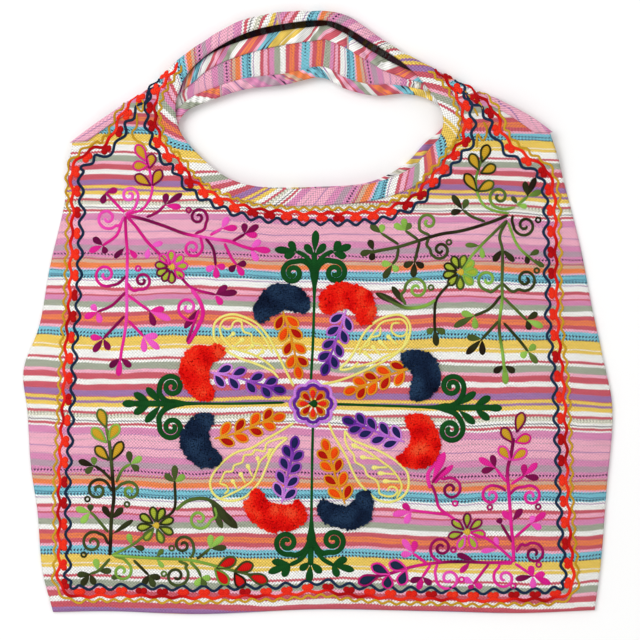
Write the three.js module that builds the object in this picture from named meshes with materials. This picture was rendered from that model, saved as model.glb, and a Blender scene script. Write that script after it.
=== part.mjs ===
// A soft shoulder tote of striped cotton with a bound hand hole, lying flat on its back.
// Units are millimetres, +X is the bag's right, +Y runs up to the handle and +Z is up from the table.
import * as THREE from 'three';
import { mergeVertices } from 'three/addons/utils/BufferGeometryUtils.js';

// Driving sizes of the body
const bodyWidth = 470;
const bodyHeight = 376;
const shoulderWidth = 380;
const puff = 17;
const neckLift = 5;

// Driving sizes of the handle and the hand hole
const handleRise = 104;
const handleWidth = 48;
const holeWidth = 214;
const holeDrop = 38;

// Cloth, bindings and the small gap between neighbouring layers
const cloth = 1.5;
const bindingCloth = 1;
const bindingWidth = 12;
const clearance = 0.3;
const bindingGap = 0.45;
const looseLay = 1.5;

// How far a bound edge takes to settle into the plain cloth beside it
const edgeFade = 28;
const cornerFade = 34;
const cornerReach = 12;

// Raised embroidery: eight tufted flower heads on a ring round a small rosette
const rosetteRadius = 18;
const rosetteHeight = 1.6;
const ringWide = 83;
const ringHigh = 75;
const headBow = 15;
const headWidth = 21.5;
const pileHeight = 3;
const ringCentre = { x: -0.017, y: 0.445 };
const headTurn = THREE.MathUtils.degToRad(17.5);
const headSweep = THREE.MathUtils.degToRad(184);

// Steps of the faceted surfaces
const armSteps = 12;
const sideSteps = 11;
const bottomSteps = 10;
const frontBindingSteps = 3;
const backBindingSteps = 2;
const frontMiddleSteps = 7;
const backMiddleSteps = 3;

// Levels of the layers, each measured at the middle of its cloth
const boundHalf = cloth / 2 + bindingGap + bindingCloth;
const layerStep = 2 * boundHalf + looseLay;
const backBodyLevel = cloth / 2;
const frontSeamLevel = cloth + clearance + cloth / 2;
const tuckedLevel = boundHalf;
const raisedBackLevel = tuckedLevel + layerStep;

// A binding takes at most this share of a gathered handle's width
const gatherShare = 0.44;

// Share of the handle's rise over which the back handle climbs onto the tucked front handle
const climbShare = 0.24;

// Places on the body are shares of its half width and its height
const leftSide = [
  { x: -0.861, y: 0.866 },
  { x: -0.909, y: 0.738 },
  { x: -0.946, y: 0.611 },
  { x: -1.0, y: 0.515 },
  { x: -0.987, y: 0.43 },
  { x: -0.974, y: 0.306 },
  { x: -0.953, y: 0.217 },
  { x: -0.936, y: 0.089 },
];
const bottomLeft = { x: -0.9, y: 0.002 };
const bottomEdge = [
  { x: -0.708, y: 0.004 },
  { x: -0.402, y: -0.002 },
  { x: 0, y: 0.008 },
  { x: 0.381, y: 0.004 },
  { x: 0.688, y: 0 },
];
const bottomRight = { x: 0.94, y: 0.006 };
const rightSide = [
  { x: 0.96, y: 0.1 },
  { x: 0.98, y: 0.26 },
  { x: 1.0, y: 0.434 },
  { x: 0.97, y: 0.536 },
  { x: 0.929, y: 0.653 },
  { x: 0.889, y: 0.781 },
  { x: 0.827, y: 0.93 },
];

// Places on a handle's outer edge are shares of half the shoulder width and of the handle's rise.
// Both lists of a panel run from the centre seam at the top down to a shoulder corner.
const frontLeftArm = [
  { x: 0.038, y: 1.0 },
  { x: -0.147, y: 0.992 },
  { x: -0.328, y: 0.923 },
  { x: -0.484, y: 0.762 },
  { x: -0.602, y: 0.608 },
  { x: -0.712, y: 0.423 },
  { x: -0.846, y: 0.246 },
  { x: -1.03, y: -0.008 },
];
const frontRightArm = [
  { x: 0.038, y: 1.0 },
  { x: 0.135, y: 0.954 },
  { x: 0.219, y: 0.846 },
  { x: 0.371, y: 0.669 },
  { x: 0.535, y: 0.523 },
  { x: 0.678, y: 0.385 },
  { x: 0.834, y: 0.254 },
  { x: 0.973, y: 0.069 },
];
const backLeftArm = [
  { x: 0.038, y: 0.885 },
  { x: -0.139, y: 0.846 },
  { x: -0.316, y: 0.769 },
  { x: -0.472, y: 0.646 },
  { x: -0.568, y: 0.485 },
  { x: -0.682, y: 0.308 },
  { x: -0.838, y: 0.138 },
  { x: -1.014, y: -0.04 },
];
const backRightArm = [
  { x: 0.038, y: 0.885 },
  { x: 0.114, y: 0.823 },
  { x: 0.202, y: 0.715 },
  { x: 0.354, y: 0.562 },
  { x: 0.531, y: 0.458 },
  { x: 0.66, y: 0.325 },
  { x: 0.817, y: 0.177 },
  { x: 0.958, y: 0.03 },
];

// Places on a hole's edge are shares of half the hole's width, and of the handle's rise above the
// shoulder line or of the hole's drop below it.
const frontHole = {
  leftArm: [
    { x: 0.067, y: 0.923 },
    { x: -0.247, y: 0.9 },
    { x: -0.531, y: 0.831 },
    { x: -0.807, y: 0.677 },
    { x: -0.972, y: 0.515 },
    { x: -1.047, y: 0.346 },
    { x: -1.062, y: 0.215 },
    { x: -1.024, y: 0.062 },
  ],
  leftNeck: [
    { x: -0.86, y: -0.375 },
    { x: -0.665, y: -0.792 },
  ],
  bottom: [
    { x: -0.419, y: -0.979 },
    { x: 0, y: -1.0 },
    { x: 0.404, y: -0.896 },
  ],
  rightNeck: [
    { x: 0.703, y: -0.563 },
    { x: 0.845, y: -0.125 },
  ],
  rightArm: [
    { x: 0.905, y: 0.023 },
    { x: 0.935, y: 0.162 },
    { x: 0.89, y: 0.3 },
    { x: 0.785, y: 0.446 },
    { x: 0.613, y: 0.615 },
    { x: 0.351, y: 0.785 },
    { x: 0.202, y: 0.877 },
  ],
};
const backHole = {
  leftArm: [
    { x: 0.03, y: 0.492 },
    { x: -0.247, y: 0.438 },
    { x: -0.553, y: 0.4 },
    { x: -0.807, y: 0.315 },
    { x: -0.972, y: 0.24 },
    { x: -1.04, y: 0.15 },
    { x: -1.05, y: 0.07 },
    { x: -1.02, y: -0.05 },
  ],
  leftNeck: [
    { x: -0.882, y: -0.417 },
    { x: -0.68, y: -0.854 },
  ],
  bottom: [
    { x: -0.419, y: -0.958 },
    { x: 0, y: -0.958 },
    { x: 0.389, y: -0.854 },
  ],
  rightNeck: [
    { x: 0.651, y: -0.479 },
    { x: 0.8, y: -0.042 },
  ],
  rightArm: [
    { x: 0.912, y: 0.085 },
    { x: 0.957, y: 0.165 },
    { x: 0.912, y: 0.262 },
    { x: 0.793, y: 0.338 },
    { x: 0.628, y: 0.369 },
    { x: 0.426, y: 0.354 },
    { x: 0.202, y: 0.408 },
  ],
};

// Soft folds and dents of the front panel: middle and half length as shares of the body,
// half width as a share of its height, and height as a share of the puff.
const folds = [
  { x: -0.74, y: 0.5, turn: 74, length: 0.2, width: 0.045, height: -0.2 },
  { x: 0.8, y: 0.52, turn: 100, length: 0.22, width: 0.05, height: -0.22 },
  { x: -0.62, y: 0.86, turn: 118, length: 0.15, width: 0.04, height: 0.14 },
  { x: 0.6, y: 0.87, turn: 62, length: 0.15, width: 0.04, height: 0.14 },
  { x: -0.3, y: 0.11, turn: 8, length: 0.4, width: 0.05, height: -0.13 },
  { x: 0.45, y: 0.16, turn: 172, length: 0.35, width: 0.05, height: 0.12 },
  { x: 0.1, y: 0.76, turn: 2, length: 0.45, width: 0.045, height: -0.12 },
];

const mix = THREE.MathUtils.lerp;
const ease = (value, start, end) => THREE.MathUtils.smoothstep(value, start, end);

const onBody = (share) => new THREE.Vector2((share.x * bodyWidth) / 2, share.y * bodyHeight);

const onArm = (share) =>
  new THREE.Vector2((share.x * shoulderWidth) / 2, bodyHeight + share.y * handleRise);

const onHole = (share) => {
  const reach = share.y < 0 ? holeDrop : handleRise;
  return new THREE.Vector2((share.x * holeWidth) / 2, bodyHeight + share.y * reach);
};

// A smooth line through a few places
function smoothLine(places, closed = false) {
  const points = places.map((place) => new THREE.Vector3(place.x, place.y, 0));
  return new THREE.CatmullRomCurve3(points, closed, 'centripetal');
}

const flat = (point) => new THREE.Vector2(point.x, point.y);

// Level of the back layer: it climbs over the shoulder onto the tucked front handle
function backLevel(y) {
  return mix(tuckedLevel, raisedBackLevel, ease(y, bodyHeight, bodyHeight + climbShare * handleRise));
}

// 1 on the handles and beside the bound hole edge, 0 on the plain body
function boundShare(across, y) {
  const besideHole = 1 - ease(across, bindingWidth, bindingWidth + edgeFade);
  const overShoulder = ease(y, bodyHeight - cornerFade - cornerReach, bodyHeight - cornerReach);
  return Math.max(besideHole, overShoulder);
}

// Height of the front panel above the level of its edges, as a share of the puff
const neckShare = 0.065;
const crownPower = 1.5;
function crownShare(share) {
  const turned = Math.sin(Math.PI * mix(neckShare, 1, share));
  return 1 - Math.pow(1 - Math.max(0, turned), crownPower);
}

function foldHeight(x, y) {
  let height = 0;
  for (const fold of folds) {
    const middle = onBody(fold);
    const turn = THREE.MathUtils.degToRad(fold.turn);
    const away = new THREE.Vector2(x, y).sub(middle).rotateAround(new THREE.Vector2(), -turn);
    const along = away.x / (fold.length * bodyWidth * 0.5);
    const beside = away.y / (fold.width * bodyHeight);
    height += fold.height * puff * Math.exp(-along * along - beside * beside);
  }
  return height;
}

// A column is one line across a panel, from the hole's edge out to the seam or the mouth's edge.
// fullness is 0 on the handles and 1 in the middle of the body.
function column(hole, edge, fullness, rolled) {
  const across = edge.clone().sub(hole);
  const visible = across.length();
  const hidden = rolled * Math.max(0, handleWidth - visible);
  return { hole, out: across.normalize(), visible, width: visible + hidden, fullness, rolled };
}

function backProfile(line, across) {
  const y = line.hole.y + line.out.y * across;
  const height = mix(backBodyLevel, backLevel(y), boundShare(across, y));
  return { reach: across, height };
}

function frontHeight(line, across) {
  const y = line.hole.y + line.out.y * across;
  const x = line.hole.x + line.out.x * across;
  const level = mix(frontSeamLevel, backLevel(y) + layerStep, boundShare(across, y));
  const share = THREE.MathUtils.clamp(across / line.visible, 0, 1);
  const crown = (puff + foldHeight(x, y)) * crownShare(share);
  const neck = neckLift * (1 - ease(across, 0, bindingWidth + edgeFade));
  return level + line.fullness * Math.max(crown, neck);
}

// The front handle lies flat up to its fold, turns down round it and runs back under the back handle
function frontProfile(line, across) {
  const y = line.hole.y + line.out.y * line.visible;
  const foldRadius = (backLevel(y) + layerStep - tuckedLevel) / 2;
  const flatRun = line.visible - line.rolled * (foldRadius + cloth / 2);
  if (across <= flatRun) {
    return { reach: across, height: frontHeight(line, across) };
  }
  const top = frontHeight(line, flatRun);
  const radius = (top - tuckedLevel) / 2;
  const angle = Math.min((across - flatRun) / radius, Math.PI);
  const tucked = Math.max(0, across - flatRun - Math.PI * radius);
  return {
    reach: flatRun + radius * Math.sin(angle) - tucked,
    height: top - radius * (1 - Math.cos(angle)),
  };
}

// A point of a panel: across from the hole's edge, and lift along the cloth's own normal
const slopeStep = 0.4;
function panelPoint(profile, line, across, lift) {
  const held = THREE.MathUtils.clamp(across, 0, line.width);
  const before = profile(line, Math.max(0, held - slopeStep));
  const after = profile(line, Math.min(line.width, held + slopeStep));
  const slope = new THREE.Vector2(after.reach - before.reach, after.height - before.height).normalize();
  const base = profile(line, held);
  const reach = base.reach + slope.x * (across - held) - slope.y * lift;
  const height = base.height + slope.y * (across - held) + slope.x * lift;
  const place = line.hole.clone().addScaledVector(line.out, reach);
  return new THREE.Vector3(place.x, place.y, height);
}

// The columns of a panel run round the hole: down the left handle, round the body, up the right one
function panelColumns(hole, leftArm, rightArm, isRolled) {
  const upArm = [...rightArm].reverse();
  const holePlaces = [
    ...hole.leftArm,
    ...hole.leftNeck,
    ...hole.bottom,
    ...hole.rightNeck,
    ...hole.rightArm,
  ].map(onHole);
  const holeLine = smoothLine(holePlaces, true);
  const leftCorner = hole.leftArm.length - 1;
  const lowLeft = leftCorner + hole.leftNeck.length + 1;
  const lowRight = lowLeft + hole.bottom.length - 1;
  const rightCorner = lowRight + hole.rightNeck.length + 1;
  const left = onArm(leftArm[leftArm.length - 1]);
  const right = onArm(upArm[0]);
  const stretches = [
    { from: 0, to: leftCorner, steps: armSteps, outline: leftArm.map(onArm), arm: 'left' },
    {
      from: leftCorner,
      to: lowLeft,
      steps: sideSteps,
      outline: [left, ...leftSide.map(onBody), onBody(bottomLeft)],
    },
    {
      from: lowLeft,
      to: lowRight,
      steps: bottomSteps,
      outline: [bottomLeft, ...bottomEdge, bottomRight].map(onBody),
    },
    {
      from: lowRight,
      to: rightCorner,
      steps: sideSteps,
      outline: [onBody(bottomRight), ...rightSide.map(onBody), right],
    },
    {
      from: rightCorner,
      to: holePlaces.length,
      steps: armSteps,
      outline: upArm.map(onArm),
      arm: 'right',
    },
  ];
  const bodySteps = 2 * sideSteps + bottomSteps;
  const fullShare = 0.27;
  const rollStart = 0.84;
  const lines = [];
  let bodyStep = 0;
  for (const stretch of stretches) {
    const outline = smoothLine(stretch.outline);
    for (let step = 0; step < stretch.steps; step += 1) {
      const share = step / stretch.steps;
      const holeAt = mix(stretch.from, stretch.to, share) / holePlaces.length;
      const edgeAt = stretch.arm ? outline.getPoint(share) : outline.getPointAt(share);
      const down = stretch.arm === 'right' ? 1 - share : share;
      const rolled = isRolled && stretch.arm ? 1 - ease(down, rollStart, 1) : 0;
      const round = bodyStep / bodySteps;
      const fullness = stretch.arm ? 0 : ease(round, 0, fullShare) * ease(1 - round, 0, fullShare);
      lines.push(column(flat(holeLine.getPoint(holeAt)), flat(edgeAt), fullness, rolled));
      bodyStep += stretch.arm ? 0 : 1;
    }
  }
  return lines;
}

// Joins matching sections into one closed body: each section has an outer and an inner chain.
// Each four-sided facet is split along its shorter diagonal, so that layers split alike.
function loft(sections, closed) {
  const chain = sections[0].outer.length;
  const positions = [];
  for (const section of sections) {
    for (const point of [...section.outer, ...section.inner]) {
      positions.push(point.x, point.y, point.z);
    }
  }
  const at = (section, side, place) => section * 2 * chain + side * chain + place;
  const index = [];
  const apart = (a, b) => {
    const step = [0, 1, 2].map((axis) => positions[3 * a + axis] - positions[3 * b + axis]);
    return Math.hypot(...step);
  };
  const quad = (a, b, c, d) => {
    if (apart(a, c) < apart(b, d)) {
      index.push(a, b, c, a, c, d);
    } else {
      index.push(a, b, d, b, c, d);
    }
  };
  const spans = closed ? sections.length : sections.length - 1;
  for (let here = 0; here < spans; here += 1) {
    const next = (here + 1) % sections.length;
    for (let place = 0; place < chain - 1; place += 1) {
      quad(at(here, 0, place), at(next, 0, place), at(next, 0, place + 1), at(here, 0, place + 1));
      quad(at(here, 1, place), at(here, 1, place + 1), at(next, 1, place + 1), at(next, 1, place));
    }
    const last = chain - 1;
    quad(at(here, 0, 0), at(here, 1, 0), at(next, 1, 0), at(next, 0, 0));
    quad(at(here, 0, last), at(next, 0, last), at(next, 1, last), at(here, 1, last));
  }
  if (!closed) {
    const end = sections.length - 1;
    for (let place = 0; place < chain - 1; place += 1) {
      quad(at(0, 0, place), at(0, 0, place + 1), at(0, 1, place + 1), at(0, 1, place));
      quad(at(end, 0, place), at(end, 1, place), at(end, 1, place + 1), at(end, 0, place + 1));
    }
  }
  const loose = new THREE.BufferGeometry();
  loose.setAttribute('position', new THREE.Float32BufferAttribute(positions, 3));
  loose.setIndex(index);
  return facingOut(mergeVertices(loose));
}

// Drops triangles that closed up to a line and turns the faces outward
function facingOut(geometry) {
  const points = geometry.getAttribute('position');
  const corner = (place) => new THREE.Vector3().fromBufferAttribute(points, place);
  const old = geometry.getIndex().array;
  const kept = [];
  let volume = 0;
  for (let place = 0; place < old.length; place += 3) {
    const [a, b, c] = [old[place], old[place + 1], old[place + 2]];
    if (a !== b && b !== c && c !== a) {
      kept.push(a, b, c);
      volume += corner(a).dot(corner(b).cross(corner(c)));
    }
  }
  geometry.setIndex(volume < 0 ? kept.reverse() : kept);
  geometry.computeVertexNormals();
  return geometry;
}

function fabric(color) {
  return new THREE.MeshStandardMaterial({ color, roughness: 0.9, metalness: 0 });
}

function named(name, geometry, color) {
  const mesh = new THREE.Mesh(geometry, fabric(color));
  mesh.name = name;
  return mesh;
}

// A binding narrows where the cloth under it is gathered to less than two bindings
const bindingRun = (line) => Math.min(bindingWidth, gatherShare * line.width);

// Rows across a column: a few beside each edge, where a binding lies, and the rest between them
function rowsAcross(line, bindingSteps, middleSteps) {
  const rows = [];
  const run = bindingRun(line);
  for (let step = 0; step < bindingSteps; step += 1) {
    rows.push((run * step) / bindingSteps);
  }
  for (let step = 0; step <= middleSteps; step += 1) {
    rows.push(mix(run, line.width - run, step / middleSteps));
  }
  for (let step = 1; step <= bindingSteps; step += 1) {
    rows.push(line.width - run + (run * step) / bindingSteps);
  }
  return rows;
}

function panel(name, profile, lines, bindingSteps, middleSteps, color) {
  const sections = lines.map((line) => {
    const rows = rowsAcross(line, bindingSteps, middleSteps);
    return {
      outer: rows.map((across) => panelPoint(profile, line, across, cloth / 2)),
      inner: rows.map((across) => panelPoint(profile, line, across, -cloth / 2)),
    };
  });
  return named(name, loft(sections, true), color);
}

// A strip folded round an edge. fromEdge turns a distance in from the edge into one across the panel.
function binding(name, profile, lines, steps, fromEdge, closed, color) {
  const chain = (line, lap, lift) => {
    const legs = [];
    for (let step = steps; step >= 1; step -= 1) {
      legs.push((bindingRun(line) * step) / steps);
    }
    legs.push(-lap);
    const place = (inward, side) => panelPoint(profile, line, fromEdge(line, inward), side * lift);
    const over = legs.map((inward) => place(inward, 1));
    const under = legs.map((inward) => place(inward, -1)).reverse();
    return [...over, ...under];
  };
  const sections = lines.map((line) => ({
    outer: chain(line, bindingGap + bindingCloth, boundHalf),
    inner: chain(line, bindingGap, cloth / 2 + bindingGap),
  }));
  return named(name, loft(sections, closed), color);
}

const fromHole = (line, inward) => inward;
const fromMouth = (line, inward) => line.width - inward;

// The mouth's edge runs over the handle from one shoulder corner to the other
function mouthLines(lines) {
  return [...lines.slice(lines.length - armSteps), ...lines.slice(0, armSteps + 1)];
}

// Height of the front panel's upper face at a place
const probe = new THREE.Raycaster();
const probeHeight = 500;
function topOf(mesh, place) {
  probe.set(new THREE.Vector3(place.x, place.y, probeHeight), new THREE.Vector3(0, 0, -1));
  const hits = probe.intersectObject(mesh);
  return hits.length > 0 ? hits[0].point.z : 0;
}

// Seats a section of raised stitching on the cloth, with its rounded top above it
function seated(mesh, places, heights) {
  const base = places.map((place) => topOf(mesh, place) + 2 * clearance);
  return {
    outer: places.map((place, at) => new THREE.Vector3(place.x, place.y, base[at] + heights[at])),
    inner: places.map((place, at) => new THREE.Vector3(place.x, place.y, base[at])),
  };
}

// A crescent of cut pile on the ring, hollow side towards the rosette, narrower at its tips
function flowerHead(name, front, turn, color) {
  const out = new THREE.Vector2(Math.cos(turn), Math.sin(turn));
  const side = new THREE.Vector2(-out.y, out.x);
  const away = Math.hypot(ringWide * out.x, ringHigh * out.y);
  const centre = onBody(ringCentre).addScaledVector(out, away);
  const lengthSteps = 8;
  const widthSteps = 3;
  const tipShare = 0.45;
  const rimShare = 0.45;
  const sections = [];
  for (let step = 0; step <= lengthSteps; step += 1) {
    const share = (step / lengthSteps) * 2 - 1;
    const angle = (share * headSweep) / 2;
    const halfWidth = (headWidth / 2) * mix(1, tipShare, share * share);
    const places = [];
    const heights = [];
    for (let row = 0; row <= widthSteps; row += 1) {
      const radius = headBow + halfWidth * (1 - (2 * row) / widthSteps);
      const place = centre.clone().addScaledVector(out, radius * Math.cos(angle));
      places.push(place.addScaledVector(side, radius * Math.sin(angle)));
      const rim = row === 0 || row === widthSteps || step === 0 || step === lengthSteps;
      heights.push(pileHeight * (rim ? rimShare : 1));
    }
    sections.push(seated(front, places, heights));
  }
  return named(name, loft(sections, false), color);
}

// The small eight-lobed flower in the middle
function rosette(front) {
  const centre = onBody(ringCentre);
  const lobes = 8;
  const aroundSteps = 4 * lobes;
  const lobeDepth = 0.08;
  const sections = [];
  for (let step = 0; step < aroundSteps; step += 1) {
    const angle = (2 * Math.PI * step) / aroundSteps;
    const rim = rosetteRadius * (1 - lobeDepth * (1 - Math.cos(lobes * angle)));
    const places = [0, 0.5, 1].map((share) => {
      const reach = new THREE.Vector2(Math.cos(angle), Math.sin(angle)).multiplyScalar(share * rim);
      return centre.clone().add(reach);
    });
    const heights = [1, 1, 0.6].map((share) => share * rosetteHeight);
    sections.push(seated(front, places, heights));
  }
  return named('rosette', loft(sections, true), 0xb46ed2);
}

const frontLines = panelColumns(frontHole, frontLeftArm, frontRightArm, true);
const backLines = panelColumns(backHole, backLeftArm, backRightArm, false);
const rose = 0xd98a9c;
const pink = 0xe7acbe;

const front = panel('front_panel', frontProfile, frontLines, frontBindingSteps, frontMiddleSteps, rose);
const bag = new THREE.Group();
bag.add(front);
bag.add(panel('back_panel', backProfile, backLines, backBindingSteps, backMiddleSteps, rose));
bag.add(
  binding('front_hole_binding', frontProfile, frontLines, frontBindingSteps, fromHole, true, pink),
);
bag.add(binding('back_hole_binding', backProfile, backLines, backBindingSteps, fromHole, true, pink));
const frontMouth = mouthLines(frontLines);
const backMouth = mouthLines(backLines);
bag.add(
  binding('front_mouth_binding', frontProfile, frontMouth, frontBindingSteps, fromMouth, false, pink),
);
bag.add(
  binding('back_mouth_binding', backProfile, backMouth, backBindingSteps, fromMouth, false, pink),
);
bag.add(rosette(front));

// Two heads stand either side of each arm of the green cross, navy and red in turn
const navy = 0x1e324b;
const scarlet = 0xe1281e;
for (let arm = 0; arm < 4; arm += 1) {
  const axis = (arm * Math.PI) / 2;
  bag.add(flowerHead(`flower_head_${2 * arm + 1}`, front, axis - headTurn, scarlet));
  bag.add(flowerHead(`flower_head_${2 * arm + 2}`, front, axis + headTurn, navy));
}

// The origin is the middle of the underside of the whole bag
const box = new THREE.Box3().setFromObject(bag);
bag.position.set(-(box.min.x + box.max.x) / 2, -(box.min.y + box.max.y) / 2, -box.min.z);
bag.updateMatrixWorld(true);

export default bag;
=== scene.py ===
"""Dresses a striped cotton shoulder tote with raised embroidery, lying flat on its back.

Lengths are millimetres inside the classes, in the cut's own frame, and metres in Blender.
"""
import logging
import math
from dataclasses import dataclass, field
from enum import Enum

import bpy
import numpy as np
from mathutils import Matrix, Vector
from mathutils.bvhtree import BVHTree


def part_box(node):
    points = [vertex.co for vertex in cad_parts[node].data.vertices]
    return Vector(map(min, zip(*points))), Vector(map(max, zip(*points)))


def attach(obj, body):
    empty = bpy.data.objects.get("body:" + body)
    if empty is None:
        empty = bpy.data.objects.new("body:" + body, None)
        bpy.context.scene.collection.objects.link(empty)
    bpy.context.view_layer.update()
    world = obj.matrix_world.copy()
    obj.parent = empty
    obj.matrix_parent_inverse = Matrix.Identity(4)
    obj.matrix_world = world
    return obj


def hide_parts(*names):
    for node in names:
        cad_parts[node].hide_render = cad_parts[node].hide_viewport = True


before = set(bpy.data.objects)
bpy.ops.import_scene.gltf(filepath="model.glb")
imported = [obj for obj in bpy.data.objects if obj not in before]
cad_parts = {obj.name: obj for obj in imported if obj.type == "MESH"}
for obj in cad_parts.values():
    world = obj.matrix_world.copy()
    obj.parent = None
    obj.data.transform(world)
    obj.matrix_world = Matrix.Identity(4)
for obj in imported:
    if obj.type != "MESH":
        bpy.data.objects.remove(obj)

log = logging.getLogger("tote")

MM = 0.001
PIECE_BODY = "root"

# One square of the embroidery chart, which is centred on the rosette
CHART = 0.8


def mix(a: "float | np.ndarray", b: "float | np.ndarray",
        share: "float | np.ndarray") -> "float | np.ndarray":
    """Blends a into b by share."""
    return a + (b - a) * share


def ease(value: "float | np.ndarray", start: float, end: float) -> np.ndarray:
    """Smooth step of value from 0 at start to 1 at end."""
    share = np.clip((value - start) / (end - start), 0.0, 1.0)
    return share * share * (3.0 - 2.0 * share)


class SmoothLine:
    """A centripetal Catmull-Rom line through a few places in the plane."""

    def __init__(self, places: list, closed: bool = False) -> None:
        """Keeps the places.

        Args:
            places: (x, y) pairs that the line runs through.
            closed: whether the line joins up.
        """
        self.places = np.asarray(places, float)
        self.closed = closed

    def at(self, shares: np.ndarray) -> np.ndarray:
        """Points at equal steps of the line's own parameter.

        Args:
            shares: parameters from 0 to 1.

        Returns:
            One point for each share.
        """
        p = self.places
        count = len(p)
        spot = np.asarray(shares, float) * (count if self.closed else count - 1)
        first = np.floor(spot).astype(int)
        if not self.closed:
            first = np.clip(first, 0, count - 2)
        weight = (spot - first)[:, None]
        if self.closed:
            near = [p[(first + step) % count] for step in (-1, 0, 1, 2)]
        else:
            padded = np.vstack([2 * p[0] - p[1], p, 2 * p[-1] - p[-2]])
            near = [padded[first + step] for step in range(4)]
        apart = [np.sqrt(np.linalg.norm(b - a, axis=1))[:, None] for a, b in zip(near, near[1:])]
        apart[1] = np.maximum(apart[1], 1e-4)
        apart[0] = np.where(apart[0] < 1e-4, apart[1], apart[0])
        apart[2] = np.where(apart[2] < 1e-4, apart[1], apart[2])
        a, b, c, d = near
        leave = (b - a) / apart[0] - (c - a) / (apart[0] + apart[1]) + (c - b) / apart[1]
        reach = (c - b) / apart[1] - (d - b) / (apart[1] + apart[2]) + (d - c) / apart[2]
        leave, reach = leave * apart[1], reach * apart[1]
        cubic = 2 * b - 2 * c + leave + reach
        square = -3 * b + 3 * c - 2 * leave - reach
        return ((cubic * weight + square) * weight + leave) * weight + b

    def at_length(self, shares: np.ndarray) -> np.ndarray:
        """Points at equal lengths along the line.

        Args:
            shares: shares of the whole length.

        Returns:
            One point for each share.
        """
        table = np.linspace(0, 1, 401)
        run = np.insert(np.cumsum(np.linalg.norm(np.diff(self.at(table), axis=0), axis=1)), 0, 0)
        return self.at(np.interp(np.asarray(shares) * run[-1], run, table))

    def evenly(self, step: float) -> np.ndarray:
        """Points about a step apart along the whole line."""
        table = self.at(np.linspace(0, 1, 401))
        length = np.linalg.norm(np.diff(table, axis=0), axis=1).sum()
        count = max(2, int(round(length / step)))
        return self.at_length(np.linspace(0, 1, count + 1))


@dataclass(frozen=True)
class ToteSizes:
    """Driving sizes of the bag, in millimetres."""

    body_width: float = 470.0
    body_height: float = 376.0
    shoulder_width: float = 380.0
    puff: float = 17.0
    neck_lift: float = 5.0
    handle_rise: float = 104.0
    handle_width: float = 48.0
    hole_width: float = 214.0
    hole_drop: float = 38.0
    cloth: float = 1.5
    binding_cloth: float = 1.0
    binding_width: float = 12.0
    clearance: float = 0.3
    binding_gap: float = 0.45
    loose_lay: float = 1.5
    edge_fade: float = 28.0
    corner_fade: float = 34.0
    corner_reach: float = 12.0
    climb_share: float = 0.24
    gather_share: float = 0.44
    bound_inset: float = 1.7
    seam_turn: float = 2.1
    ring_x: float = -0.017
    ring_y: float = 0.445

    @property
    def bound_half(self) -> float:
        """Half the height of a bound edge."""
        return self.cloth / 2 + self.binding_gap + self.binding_cloth

    @property
    def layer_step(self) -> float:
        """From the middle of one bound layer to the middle of the next."""
        return 2 * self.bound_half + self.loose_lay

    @property
    def seam_level(self) -> float:
        """Middle of the front cloth at the seams."""
        return 1.5 * self.cloth + self.clearance

    @property
    def tucked_level(self) -> float:
        """Middle of the cloth that lies on the table under the handle."""
        return self.bound_half

    @property
    def centre(self) -> np.ndarray:
        """Middle of the rosette in the cut's frame."""
        return np.array([self.ring_x * self.body_width / 2, self.ring_y * self.body_height])

    def on_body(self, share: tuple) -> np.ndarray:
        """A place given as shares of the half width and the height of the body."""
        return np.array([share[0] * self.body_width / 2, share[1] * self.body_height])

    def on_arm(self, share: tuple) -> np.ndarray:
        """A place on a handle's outer edge."""
        return np.array([share[0] * self.shoulder_width / 2,
                         self.body_height + share[1] * self.handle_rise])

    def on_hole(self, share: tuple) -> np.ndarray:
        """A place on the edge of a hand hole."""
        reach = self.hole_drop if share[1] < 0 else self.handle_rise
        return np.array([share[0] * self.hole_width / 2, self.body_height + share[1] * reach])


SIZES = ToteSizes()

# Places of the sewn outline, as shares of the body
LEFT_SIDE = [(-0.861, 0.866), (-0.909, 0.738), (-0.946, 0.611), (-1.0, 0.515),
             (-0.987, 0.43), (-0.974, 0.306), (-0.953, 0.217), (-0.936, 0.089)]
BOTTOM_LEFT = (-0.9, 0.002)
BOTTOM_EDGE = [(-0.708, 0.004), (-0.402, -0.002), (0, 0.008), (0.381, 0.004), (0.688, 0)]
BOTTOM_RIGHT = (0.94, 0.006)
RIGHT_SIDE = [(0.96, 0.1), (0.98, 0.26), (1.0, 0.434), (0.97, 0.536),
              (0.929, 0.653), (0.889, 0.781), (0.827, 0.93)]


@dataclass(frozen=True)
class Outline:
    """Where a panel's handles and hole run, as shares of the named sizes."""

    left_arm: tuple
    right_arm: tuple
    hole_left_arm: tuple
    hole_left_neck: tuple
    hole_bottom: tuple
    hole_right_neck: tuple
    hole_right_arm: tuple


FRONT_OUTLINE = Outline(
    left_arm=((0.038, 1.0), (-0.147, 0.992), (-0.328, 0.923), (-0.484, 0.762),
              (-0.602, 0.608), (-0.712, 0.423), (-0.846, 0.246), (-1.03, -0.008)),
    right_arm=((0.038, 1.0), (0.135, 0.954), (0.219, 0.846), (0.371, 0.669),
               (0.535, 0.523), (0.678, 0.385), (0.834, 0.254), (0.973, 0.069)),
    hole_left_arm=((0.067, 0.923), (-0.247, 0.9), (-0.531, 0.831), (-0.807, 0.677),
                   (-0.972, 0.515), (-1.047, 0.346), (-1.062, 0.215), (-1.024, 0.062)),
    hole_left_neck=((-0.86, -0.375), (-0.665, -0.792)),
    hole_bottom=((-0.419, -0.979), (0, -1.0), (0.404, -0.896)),
    hole_right_neck=((0.703, -0.563), (0.845, -0.125)),
    hole_right_arm=((0.905, 0.023), (0.935, 0.162), (0.89, 0.3), (0.785, 0.446),
                    (0.613, 0.615), (0.351, 0.785), (0.202, 0.877)),
)
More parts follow.
